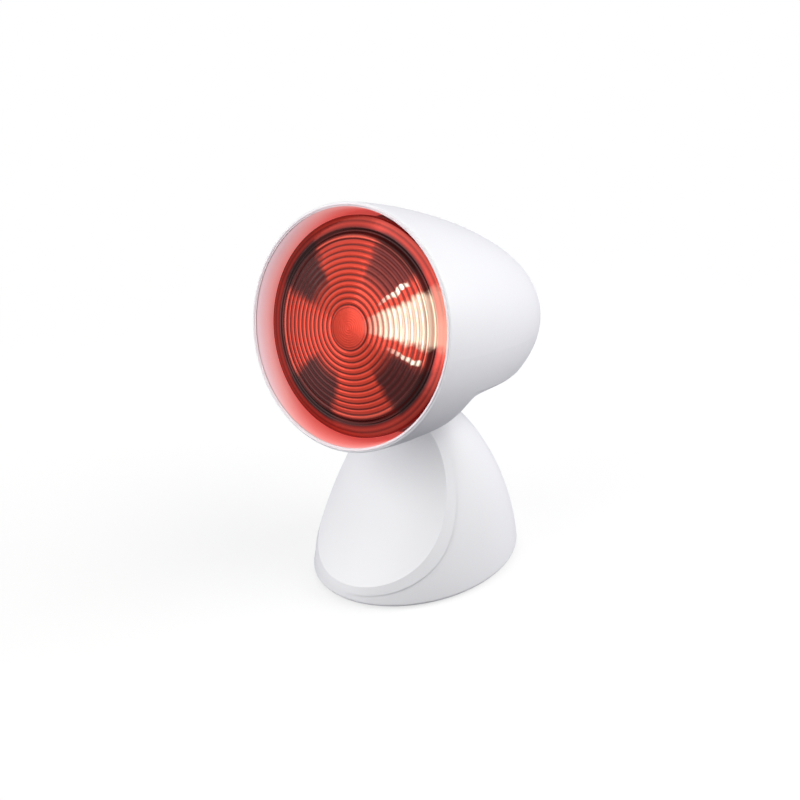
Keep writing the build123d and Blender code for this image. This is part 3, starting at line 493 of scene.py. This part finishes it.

# A painted cream highlight in the shape of a fan.
painted_fan_highlight = beam(tree, angle, fan_turn, fan_softness, fan_half)
painted_fan_highlight = faded(tree, painted_fan_highlight, share, fan_start, fan_full, 0.0, 1.0, soft_range)
painted_fan_highlight = faded(tree, painted_fan_highlight, share, fan_fade, fan_end, fan_strength, fan_rest)
painted = add_node(tree, "Mix", colour_mix, in0=painted_fan_highlight, in6=painted, in7=linear("#f2d6bc"))
# Painted dotted streaks of highlight along the fan's sides.
for turn, first, last in painted_streak_lines:
    painted_streak_mask = beam(tree, angle, turn, streak_softness, streak_half)
    painted_streak_mask = faded(tree, painted_streak_mask, share, first, last - streak_full, 0.0, streak_strength)
    painted_streak_mask = faded(tree, painted_streak_mask, share, last - streak_fade, last, 1.0, 0.0)
    painted = add_node(tree, "Mix", colour_mix, in0=painted_streak_mask, in6=painted, in7=linear("#fff0da"))
print("streaks:", len(painted_streak_lines))

# %% [markdown]
# A clear red shows on the crown of each rib, and a thin dark line of painted shade lies in each valley
# between two ribs. The line comes from the same rib pitch as the relief, so the two can't part. It is weaker
# in the painted fan highlight, which outshines it.

# %% Painted shade in the valleys between the ribs
line_edge, line_full = 0.2, 0.85  # cosine of the place in a rib, 1 in the valley
ribs_in, ribs_in_full, ribs_out, ribs_out_full = 0.185, 0.2, 0.8, 0.81
line_strength, line_strength_in_fan = 0.85, 0.45

# Painted shade: a thin dark line in each valley between two ribs.
phase = add_node(tree, "MapRange", {"clamp": False}, Value=radius, From_Min=rib_first * MM,
                 From_Max=(rib_first + rib_pitch) * MM, To_Max=2 * math.pi)
crest = add_node(tree, "Math", {"operation": "COSINE"}, in0=phase)
painted_valley_shade = add_node(tree, "MapRange", soft_range, Value=crest, From_Min=line_edge, From_Max=line_full)
painted_valley_shade = faded(tree, painted_valley_shade, share, ribs_in, ribs_in_full, 0.0, 1.0)
painted_valley_shade = faded(tree, painted_valley_shade, share, ribs_out, ribs_out_full, 1.0, 0.0)
painted_valley_shade = faded(tree, painted_valley_shade, painted_fan_highlight, 0.0, 1.0, line_strength, line_strength_in_fan)
painted = add_node(tree, "Mix", colour_mix, in0=painted_valley_shade, in6=painted, in7=linear("#4c0c08"))
print("valleys:", rib_count)

# %% [markdown]
# Pressed glass is never quite smooth: the mould leaves shallow dimples, and they break up the reflections.

# %% Skin of the red glass
dimple_pitch = 2.2
dimples = add_node(tree, "TexNoise", None, Vector=level, Scale=per_metre(dimple_pitch), Detail=2.0)
glass_skin = add_node(tree, "Bump", None, Strength=0.2, Distance=0.0002, Height=dimples)
finish_material(tree, Base_Color=painted, Metallic=0.5, Roughness=0.16, IOR=1.5, Specular_IOR_Level=0.3,
                Normal=glass_skin)
bulb_glass.data.materials.append(red_glass)
print("red glass:", len(tree.nodes), "nodes")

# %% [markdown]
# ## The mouth of the shade
# A white sleeve lines the mouth, and its lip folds forward over the edge of the shade. It opens like a
# trumpet, so only a thin pale edge shows from the front. Further in it follows the shade's own curve, so
# the same formula is written once and used for both the sleeve and, later, the belly's plugs.

# %% Curve of the shade
rim_radius = 68.0
head_length = 161.8
head_power, head_root = 1.508, 2.289
head_wall = 2.4


def head_radius(s, grow=0.0):
    """The shade's outer radius at a distance behind the rim plane."""
    return (rim_radius + grow) * (1 - (s / (head_length + grow)) ** head_power) ** (1 / head_root)


print("radius halfway back, mm:", round(head_radius(head_length / 2), 1))

# %% [markdown]
# The outline starts at the lip's outer edge, goes round the lip and in along the trumpet, follows the shade
# to the sleeve's inner end, and comes back along the shade's wall.

# %% Mouth liner
lip_front = -0.8
liner_thick, liner_depth, liner_gap = 1.2, 40.0, 0.25
wall_clearance = 0.02
sleeve_start, sleeve_steps, liner_steps = 11.0, 12, 192

trumpet = [
    (66.9, -0.05), (67.05, -0.25), (67.0, -0.55), (66.75, lip_front), (66.45, -0.78), (66.1, -0.45),
    (65.65, 0.25), (65.15, 1.5), (64.75, 3.2), (64.4, 5.5), (64.1, 8.5),
]
stations = [sleeve_start + (liner_depth - sleeve_start) * i / sleeve_steps for i in range(sleeve_steps + 1)]
sleeve_grow = -head_wall - liner_gap
inner_line = [(head_radius(s, sleeve_grow) - liner_thick, s) for s in stations]
outer_line = [(head_radius(s, sleeve_grow) - wall_clearance, s) for s in reversed(stations)]
outer_front = [(65.34, 6.0), (65.4, 3.0), (65.45, 0.6), (65.5, -0.05)]
liner_outline = trumpet + inner_line + outer_line + outer_front
mouth_liner = finish_piece("mouth_liner", spun(liner_outline, liner_steps), head_matrix, "head",
                           ["shade_liner"], crease=60)

# %% [markdown]
# ## White liner plastic with painted red light
# The sleeve is white heat-resistant plastic. The red light that the glass throws on it is painted into its
# colour, and it deepens from the lip inwards. Less of it is painted on the left of the mouth, where the
# room's light falls in, and a soft cloud keeps its edge from being a ruled line.

# %% How deep the painted red light is
painted_red_depth = 30.0  # millimetres, here and in the next three lines
painted_red_lead = 11.0
cloud_pitch, cloud_reach = 38.0, 5.0
lip_start, lip_end = 0.4, 1.2
light_side, red_side = -0.95, -0.1  # cosine of the angle, -1 at the left

liner_with_painted_glow, tree, place = new_material("liner_plastic_with_painted_glow")
level = head_level(tree, place)
_, angle = polar_place(tree, level)
depth = add_node(tree, "SeparateXYZ", None, Vector=level).outputs[1]
facing = add_node(tree, "Math", {"operation": "COSINE"}, in0=angle)
# Painted red light from the glass: less of it on the left of the mouth, more on the other sides.
painted_red_offset = add_node(tree, "MapRange", soft_range, Value=facing, From_Min=light_side, From_Max=red_side,
                  To_Max=painted_red_lead * MM)
painted_red_reach = add_node(tree, "Math", {"operation": "ADD"}, in0=depth, in1=painted_red_offset)
cloud = add_node(tree, "TexNoise", None, Vector=level, Scale=per_metre(cloud_pitch), Detail=1.0)
painted_red_reach = add_node(tree, "Math", {"operation": "MULTIPLY_ADD"}, in0=cloud, in1=cloud_reach * MM, in2=painted_red_reach)
share = add_node(tree, "Math", {"operation": "DIVIDE"}, in0=painted_red_reach, in1=painted_red_depth * MM)
past_lip = add_node(tree, "MapRange", soft_range, Value=depth, From_Min=lip_start * MM,
                    From_Max=lip_end * MM)
print("the blush is full", painted_red_depth, "mm behind the rim")

# %% [markdown]
# The thin sleeve also gets a painted red glow, as if light came through it. The lip is thick and stays white.
# The fine texture of the moulding is drawn coarser than it is, so that it takes the shine off.

# %% Liner plastic
moulding_pitch, polish_patch = 0.5, 20.0

# Painted red light in the base colour, deepening from the lip inwards.
painted_red_light = add_node(tree, "ValToRGB", {"stops": [
    (0.0, "#e6dbe2"), (0.2, "#ecc8ca"), (0.4, "#eea6a2"), (0.6, "#e6807b"), (0.8, "#de645f"),
    (1.0, "#d4504b"),
]}, Fac=share)
# A painted red glow in the emission, though the sleeve is no lamp.
painted_glow = add_node(tree, "ValToRGB", {"stops": [
    (0.0, "#a89ca4"), (0.15, "#c4acb2"), (0.4, "#d89896"), (0.7, "#d86c67"), (1.0, "#cc544f"),
]}, Fac=share)
painted_red_light = add_node(tree, "Mix", colour_mix, in0=past_lip, in6=linear("#f4eaee"), in7=painted_red_light)
painted_glow = add_node(tree, "Mix", colour_mix, in0=past_lip, in6=linear("#000000"), in7=painted_glow)
moulding = add_node(tree, "TexNoise", None, Vector=level, Scale=per_metre(moulding_pitch), Detail=2.0)
bump = add_node(tree, "Bump", None, Strength=0.08, Distance=0.0001, Height=moulding)
finish_material(tree, Base_Color=painted_red_light, Roughness=drift(tree, level, polish_patch, 0.3, 0.4), IOR=1.5,
                Normal=bump, Emission_Color=painted_glow, Emission_Strength=0.7)
mouth_liner.data.materials.append(liner_with_painted_glow)
print("liner:", len(tree.nodes), "nodes")

# %% [markdown]
# ## Plugs over the belly's screws
# The four screws of the belly cover sit in deep round pockets. Each pocket is closed by a white plug that
# is cut to the slope of the skin. A lamp that is handled every day is often closed this way, because it
# wipes clean. A cone with two equal ends is a cylinder, and one cut gives it the slope of the skin.

# %% One plug
plug_radius, plug_depth, plug_sink = 2.95, 4.6, 0.12
plug_length = 2 * plug_depth + 8
plug_sides, plug_rounding = 48, 0.2


def plug_mesh(spot, outward):
    """A round plug at a spot of the skin, cut square to the outward direction and rounded at the edge."""
    bm = bmesh.new()
    middle = spot + Vector((0, 0, plug_depth - plug_length / 2))
    bmesh.ops.create_cone(bm, cap_ends=True, segments=plug_sides, radius1=plug_radius, radius2=plug_radius,
                          depth=plug_length, matrix=Matrix.Translation(middle))
    cut = bmesh.ops.bisect_plane(bm, geom=bm.verts[:] + bm.edges[:] + bm.faces[:],
                                 plane_co=spot - outward * plug_sink, plane_no=outward, clear_outer=True)
    rim = [e for e in cut["geom_cut"] if isinstance(e, bmesh.types.BMEdge)]
    bmesh.ops.holes_fill(bm, edges=rim, sides=0)
    bmesh.ops.bevel(bm, geom=rim, offset=plug_rounding, offset_type="OFFSET", segments=2, profile=0.5,
                    affect="EDGES", material=-1)
    return bm


print("a plug is", 2 * plug_radius, "mm across")

# %% [markdown]
# The belly is a hollow in the shade's curve. Its depth follows half a sine wave, so it starts and ends on
# the skin, and its slope at each plug gives the direction of the cut.

# %% Belly plugs
belly_first, belly_last, belly_recess = 45.0, 121.0, 5.5
belly_level = -23.0
belly_screws = (("front", 6.57, 62.0), ("rear", 4.57, 106.0))  # inset from the cover's side, distance back
slope_step = 0.5


def belly_radius(s):
    """The belly's radius at a distance behind the rim plane."""
    return head_radius(s) - belly_recess * math.sin(math.pi * (s - belly_first) / (belly_last - belly_first))


plugs = []
for row, inset, s in belly_screws:
    skin = belly_radius(s)
    x = math.sqrt(skin ** 2 - belly_level ** 2) - inset
    u = -math.sqrt(skin ** 2 - x ** 2)
    slope = (belly_radius(s + slope_step) - belly_radius(s - slope_step)) / (2 * slope_step)
    for side, hand in ((-1, "left"), (1, "right")):
        outward = Vector((side * x / skin, -slope, u / skin)).normalized()
        bm = plug_mesh(Vector((side * x, s, u)), outward)
        plugs.append(finish_piece(f"plug_{row}_{hand}", bm, head_matrix, "head", crease=40))

# %% [markdown]
# ## Rubber pads
# Five moulded pads with a soft edge. One groove in the sole keeps each from sucking onto a smooth table,
# and a stem holds it in the bottom plate. All that is round about one upright axis, so each pad is a spun
# outline again, with an arc worked out by a formula for its soft edge.

# %% Rubber pads
pad_radius, pad_height, pad_edge, pad_shoulder = 6.5, 1.5, 0.5, 0.15
stem_radius, stem_top, stem_edge = 2.5, 4.3, 0.3
groove_start, groove_end, groove_slope, groove_depth = 2.2, 3.8, 0.4, 0.35
pad_places = [(x, y) for x in (-29.48, 29.48) for y in (-41.76, 41.76)] + [(0.0, 0.0)]
arc_steps, pad_steps = 5, 48

arc_angles = [i / arc_steps * math.pi / 2 for i in range(arc_steps + 1)]
edge_arc = [(pad_radius - pad_edge + pad_edge * math.sin(a), pad_edge - pad_edge * math.cos(a))
            for a in arc_angles]
pad_outline = [
    (0, 0), (groove_start, 0), (groove_start + groove_slope, groove_depth),
    (groove_end - groove_slope, groove_depth), (groove_end, 0), *edge_arc,
    (pad_radius, pad_height - pad_shoulder), (pad_radius - pad_shoulder, pad_height),
    (stem_radius, pad_height), (stem_radius, stem_top - stem_edge), (stem_radius - stem_edge, stem_top),
    (0, stem_top),
]
pads = []
for number, (x, y) in enumerate(pad_places):
    pad_matrix = to_metres @ Matrix.Translation((x, y, 0))
    bm = spun(pad_outline, pad_steps, axis=(0, 0, 1))
    pads.append(finish_piece(f"rubber_pad_{number}", bm, pad_matrix, "base", ["rubber_feet"]))

# %% [markdown]
# ## The inlet's bush
# The lead goes in at the back through a black bush. Its flange lies on the skin and has a rounded edge with
# a fine groove round it, and a bead round the bore, over which the lead bends softly.

# %% Inlet bush
gland_z, gland_seat, gland_length = 17.0, 64.449, 11.0
flange_radius, flange_height = 7.4, 2.4
sleeve_radius, bore_radius = 5.2, 3.6
bush_steps = 72
sleeve_end = gland_seat - gland_length + flange_height

flange_profile = [  # radius, and height above the seat
    (flange_radius, 0), (flange_radius, 0.5), (flange_radius - 0.25, 0.7), (flange_radius, 0.9),
    (flange_radius, 1.3), (flange_radius - 0.2, 1.8), (flange_radius - 0.7, 2.2),
    (flange_radius - 1.3, flange_height), (5.9, flange_height), (5.6, 2.1), (5.3, flange_height),
    (4.7, flange_height), (4.1, 2.2), (bore_radius, 1.6),
]
bush_outline = [(bore_radius, sleeve_end), (sleeve_radius, sleeve_end), (sleeve_radius, gland_seat)]
bush_outline += [(r, gland_seat + height) for r, height in flange_profile]
bush_matrix = to_metres @ Matrix.Translation((0, 0, gland_z))
inlet_bush = finish_piece("inlet_bush", spun(bush_outline, bush_steps), bush_matrix, "base",
                          ["cable_gland"])

# %% [markdown]
# ## The rocker
# The rocker is moulded with soft edges, which catch a line of light. The CAD model's rocker has sharp ones,
# so a copy of it is merged into clean faces and bevelled.

# %% Rocker
sharp_angle, flat_angle = math.radians(7), math.radians(1)
rocker_rounding = 0.3

bm = bmesh.new()
bm.from_mesh(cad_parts["switch_rocker"].data)
bmesh.ops.remove_doubles(bm, verts=bm.verts, dist=merge_distance)
bmesh.ops.dissolve_limit(bm, angle_limit=flat_angle, verts=bm.verts, edges=bm.edges)
sharp = [e for e in bm.edges if len(e.link_faces) == 2 and e.calc_face_angle() > sharp_angle]
bmesh.ops.bevel(bm, geom=sharp, offset=rocker_rounding * MM, offset_type="OFFSET", segments=3, profile=0.5,
                affect="EDGES", clamp_overlap=True, material=-1)
rocker_cap = finish_piece("rocker_cap", bm, Matrix.Identity(4), "rocker", ["switch_rocker"],
                          crease=30)

# %% [markdown]
# ## The rocker's marks
# A ring for off and a bar for on are printed on the rocker's two faces. Each face slopes away from the
# crest between them, and the whole switch leans back with the foot, so the marks get their place by a chain
# of matrices: the seat in the foot, the rocker's rest, the face, and the way out from the crest.

# %% Faces of the rocker
rocker_axis = Vector((0, 56.393, 42.187))
switch_lean = math.radians(24)
rocker_rest = math.radians(9)
face_slope = math.radians(9)
rocker_crest, mark_out = 3.0, 4.7  # above the axis, and from the crest out to the middle of each mark

lean_sin, lean_cos = math.sin(switch_lean), math.cos(switch_lean)
seat_matrix = Matrix((
    (-1, 0, 0, rocker_axis.x),
    (0, -lean_sin, lean_cos, rocker_axis.y),
    (0, lean_cos, lean_sin, rocker_axis.z),
    (0, 0, 0, 1),
))
rocker_turn = Matrix.Rotation(rocker_rest, 4, "Y") @ Matrix.Translation((0, 0, rocker_crest))
rocker_matrix = to_metres @ seat_matrix @ rocker_turn
off_matrix, on_matrix = [
    rocker_matrix @ Matrix.Rotation(side * face_slope, 4, "Y") @ Matrix.Translation((side * mark_out, 0, 0))
    for side in (-1, 1)
]
print("off mark at, mm:", [round(v / MM, 1) for v in off_matrix.translation])

# %% [markdown]
# The ring is a small rectangle, spun. The bar is a cube, drawn out and bevelled. Both are sunk a little way
# into the face, so that no gap shows.

# %% Rocker marks
mark_height, mark_root = 0.12, 0.1
ring_inner, ring_outer, ring_steps = 1.15, 1.75, 48
bar_width, bar_length, bar_rounding = 0.6, 3.5, 0.04

ring_section = [(ring_inner, -mark_root), (ring_inner, mark_height),
                (ring_outer, mark_height), (ring_outer, -mark_root)]
bm = spun(ring_section, ring_steps, axis=(0, 0, 1))
off_ring = finish_piece("mark_off", bm, off_matrix, "rocker")

bm = bmesh.new()
bmesh.ops.create_cube(bm, size=1)
bmesh.ops.scale(bm, vec=(bar_width, bar_length, mark_height + mark_root), verts=bm.verts)
bmesh.ops.bevel(bm, geom=bm.edges[:], offset=bar_rounding, offset_type="OFFSET", segments=2, profile=0.5,
                affect="EDGES", material=-1)
bmesh.ops.translate(bm, vec=(0, 0, (mark_height - mark_root) / 2), verts=bm.verts)
on_bar = finish_piece("mark_on", bm, on_matrix, "rocker")

# %% [markdown]
# ## Dressing the CAD model
# The pieces that come straight from the CAD model only need a material. One helper gives it to them by
# name.

# %% Dressing helper


def dress(material, *names):
    """Gives a material to nodes of the CAD model."""
    for name in names:
        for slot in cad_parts[name].material_slots:
            slot.material = material


print("nodes to dress:", len(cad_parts))

# %% [markdown]
# ## Gloss white ABS
# ABS comes bright and even out of a polished mould, with a faint ripple where it shrank and a polish that
# drifts a little. Thick and thin walls differ by a slight cast. A thin clear skin lies over the white: its
# tint deepens at flat angles, which draws the edges of the white mouldings against the white room. The skin
# bends light very little, so that only its tint shows.

# %% Gloss white ABS
cast_patch, sink_pitch, gloss_patch = 90.0, 14.0, 60.0  # millimetres

gloss_white, tree, place = new_material("gloss_white_ABS")
shade = add_node(tree, "Mix", colour_mix, in0=drift(tree, place, cast_patch, 0, 1), in6=linear("#fafafb"),
                 in7=linear("#fbfbfc"))
sink = add_node(tree, "TexNoise", None, Vector=place, Scale=per_metre(sink_pitch), Detail=1.0)
bump = add_node(tree, "Bump", None, Strength=0.03, Distance=0.0002, Height=sink)
finish_material(tree, Base_Color=shade, Roughness=drift(tree, place, gloss_patch, 0.36, 0.42), IOR=1.54,
                Specular_IOR_Level=0.2, Normal=bump, Coat_Weight=1.0, Coat_Roughness=0.4, Coat_IOR=1.02,
                Coat_Tint=linear("#f8f8f9"))
dress(gloss_white, "base_shell", "front_panel", "head_shell", "hinge_cover", "rear_cap")
for plug in plugs:
    plug.data.materials.append(gloss_white)
print("gloss white:", len(tree.nodes), "nodes")

# %% [markdown]
# ## Grained surfaces
# Grey ABS, black nylon, glass-filled nylon and rubber come out of spark-eroded moulds, which leave a fine
# even grain. Sand casting leaves a coarser one on the painted iron ballast, the cables' silicone has a dry,
# powdery skin, and the printed marks are matt ink. They differ in the size of the grain, in its depth and
# in how far the rubbed high spots lighten, so one function makes them all. Real mould grain is about a
# tenth of a millimetre. It is drawn a few times coarser here, so that it shows.

# %% Grain
rub_patch, rub_swing = 25.0, 0.06  # how far apart polish and wear drift, and by how much


def grained(name, colour, worn, grain, depth, roughness):
    """Grain of that size and depth in millimetres. The high spots are rubbed to the worn colour."""
    material, tree, place = new_material(name)
    pits = add_node(tree, "TexVoronoi", {"feature": "SMOOTH_F1"}, Vector=place, Scale=per_metre(grain))
    fine = add_node(tree, "TexNoise", None, Vector=place, Scale=per_metre(grain / 2), Detail=3.0)
    height = add_node(tree, "Math", {"operation": "ADD"}, in0=pits, in1=fine)
    bump = add_node(tree, "Bump", None, Strength=0.6, Distance=depth * MM, Height=height)
    rubbed = add_node(tree, "MapRange", None, Value=fine, From_Min=0.5, From_Max=0.75)
    shade = add_node(tree, "Mix", colour_mix, in0=rubbed, in6=linear(colour), in7=linear(worn))
    rough = drift(tree, place, rub_patch, roughness - rub_swing, roughness + rub_swing)
    finish_material(tree, Base_Color=shade, Roughness=rough, IOR=1.5, Normal=bump)
    return material


grey_moulding = grained("grained_grey_ABS", "#cfcfd2", "#d8d8da", 0.45, 0.05, 0.55)
black_moulding = grained("grained_black_nylon", "#17171a", "#24242a", 0.35, 0.04, 0.5)
pale_moulding = grained("glass_filled_nylon", "#d3d2cd", "#e2e1dd", 0.3, 0.03, 0.48)
pad_rubber = grained("moulded_rubber", "#232326", "#3a3a3e", 0.4, 0.05, 0.78)
painted_iron = grained("painted_cast_iron", "#3c3d40", "#5a5a5c", 1.4, 0.25, 0.66)
cable_silicone = grained("silicone_sheath", "#e4e1d9", "#efede7", 0.6, 0.03, 0.62)
mark_ink = grained("white_pad_print", "#e9e9ea", "#f4f4f4", 0.3, 0.01, 0.6)
print("the finest grain is that of", pale_moulding.name, "and", mark_ink.name)

# %% [markdown]
# Inside the foot the structure is pale nylon, because it takes heat and load. What a hand or the table
# touches is black or grey.

# %% Dressing the grained pieces
dress(grey_moulding, "bottom_plate")
dress(black_moulding, "switch_body", "gland_nut", "friction_washers")
dress(pale_moulding, "hinge_post", "terminal_block")
dress(painted_iron, "ballast_plate")
dress(cable_silicone, "base_cable", "head_cable", "switch_leads")
for piece in (rocker_cap, inlet_bush):
    piece.data.materials.append(black_moulding)
for mark in (off_ring, on_bar):
    mark.data.materials.append(mark_ink)
for pad in pads:
    pad.data.materials.append(pad_rubber)
print("rubber on", len(pads), "pads")

# %% [markdown]
# ## Metals
# Zinc-plated steel has a cool, patchy passivation in which blue and straw drift across a part. Nickelled
# brass shows its yellow through the thin plating. Aluminium sheet keeps fine lines from the rolls. Tungsten
# is drawn wire, dark and dull. The bowl's mirror is aluminium, laid on the glass in a vacuum and nearly
# perfect. In each, a colour drifts over the part, and the tool's lines or the crystals roughen it. The
# lines are drawn wider than they are, so that they show.

# %% Metals
line_swing = 0.07  # how much the lines change the roughness


def metal(name, colour, cast, patch, line, stretch, roughness):
    """Colour that drifts to its cast over patch millimetres, with lines that wide, drawn out by stretch."""
    material, tree, place = new_material(name)
    shade = add_node(tree, "Mix", colour_mix, in0=drift(tree, place, patch, 0, 1), in6=linear(colour),
                     in7=linear(cast))
    drawn = add_node(tree, "Mapping", None, Vector=place, Scale=(1, 1 / stretch, 1))
    lines = add_node(tree, "TexNoise", None, Vector=drawn, Scale=per_metre(line), Detail=2.0)
    bump = add_node(tree, "Bump", None, Strength=0.15, Distance=0.0001, Height=lines)
    rough = add_node(tree, "MapRange", None, Value=lines, From_Min=noise_low, From_Max=noise_high,
                     To_Min=roughness - line_swing, To_Max=roughness + line_swing)
    finish_material(tree, Base_Color=shade, Metallic=1.0, Roughness=rough, Normal=bump)
    return material


plated_steel = metal("zinc_plated_steel", "#c3c8cf", "#d3cfbf", 6, 0.4, 1, 0.34)
plated_brass = metal("nickelled_brass", "#d6c187", "#cdbf9c", 5, 0.5, 1, 0.3)
sheet_aluminium = metal("rolled_aluminium", "#dcdde0", "#d2d3d8", 18, 0.5, 12, 0.3)
filament_wire = metal("drawn_tungsten", "#77736e", "#66625e", 3, 0.3, 1, 0.5)
bowl_mirror = metal("aluminised_mirror", "#ebe9e6", "#e2e2e4", 30, 3, 1, 0.09)
dress(plated_steel, "base_screws", "ballast_screws", "post_screws", "hinge_pins", "spring_washers",
      "terminal_screws", "hinge_cover_screws", "filament_supports", "holder_bracket", "bracket_screws",
      "holder_screws")
dress(plated_brass, "switch_tabs", "bulb_contact", "thread_shell", "holder_contact")
dress(sheet_aluminium, "bulb_cap", "heat_shield")
dress(filament_wire, "filament")
dress(bowl_mirror, "bulb_reflector")
print("metals:", [m.name for m in (plated_steel, plated_brass, sheet_aluminium, filament_wire, bowl_mirror)])

# %% [markdown]
# ## Glazed and glassy pieces
# The holder is glazed porcelain: a smooth clear skin over a warm white body with a few dark specks. The
# cap's insulator is vitrite, a black glass. The stem in the bulb is clear glass, which bends what lies
# behind it.

# %% Glazed and glassy pieces
sag_pitch = 4.0  # the glaze's own slow waves
speck_core, speck_edge = 0.08, 0.16  # shares of the spacing


def glazed(name, colour, speck, spacing, **surface):
    """A glassy skin over a body with specks that many millimetres apart."""
    material, tree, place = new_material(name)
    cells = add_node(tree, "TexVoronoi", None, Vector=place, Scale=per_metre(spacing))
    specks = add_node(tree, "MapRange", None, Value=cells,
                      From_Min=speck_core, From_Max=speck_edge, To_Min=1.0, To_Max=0.0)
    shade = add_node(tree, "Mix", colour_mix, in0=specks, in6=linear(colour), in7=linear(speck))
    sag = add_node(tree, "TexNoise", None, Vector=place, Scale=per_metre(sag_pitch), Detail=1.0)
    bump = add_node(tree, "Bump", None, Strength=0.1, Distance=0.0002, Height=sag)
    finish_material(tree, Base_Color=shade, Normal=bump, **surface)
    return material


porcelain = glazed("glazed_porcelain", "#efeae0", "#b9a98f", 2.5, Roughness=0.14, IOR=1.5)
vitrite = glazed("black_vitrite", "#111015", "#2a2530", 1.5, Roughness=0.1, IOR=1.55)
clear_glass = glazed("clear_lead_glass", "#f4f8f6", "#ffffff", 3, Roughness=0.02, IOR=1.52,
                     Transmission_Weight=1.0)
dress(porcelain, "lamp_holder")
dress(vitrite, "bulb_insulator")
dress(clear_glass, "glass_stem")
print("glassy surfaces:", [m.name for m in (porcelain, vitrite, clear_glass)])
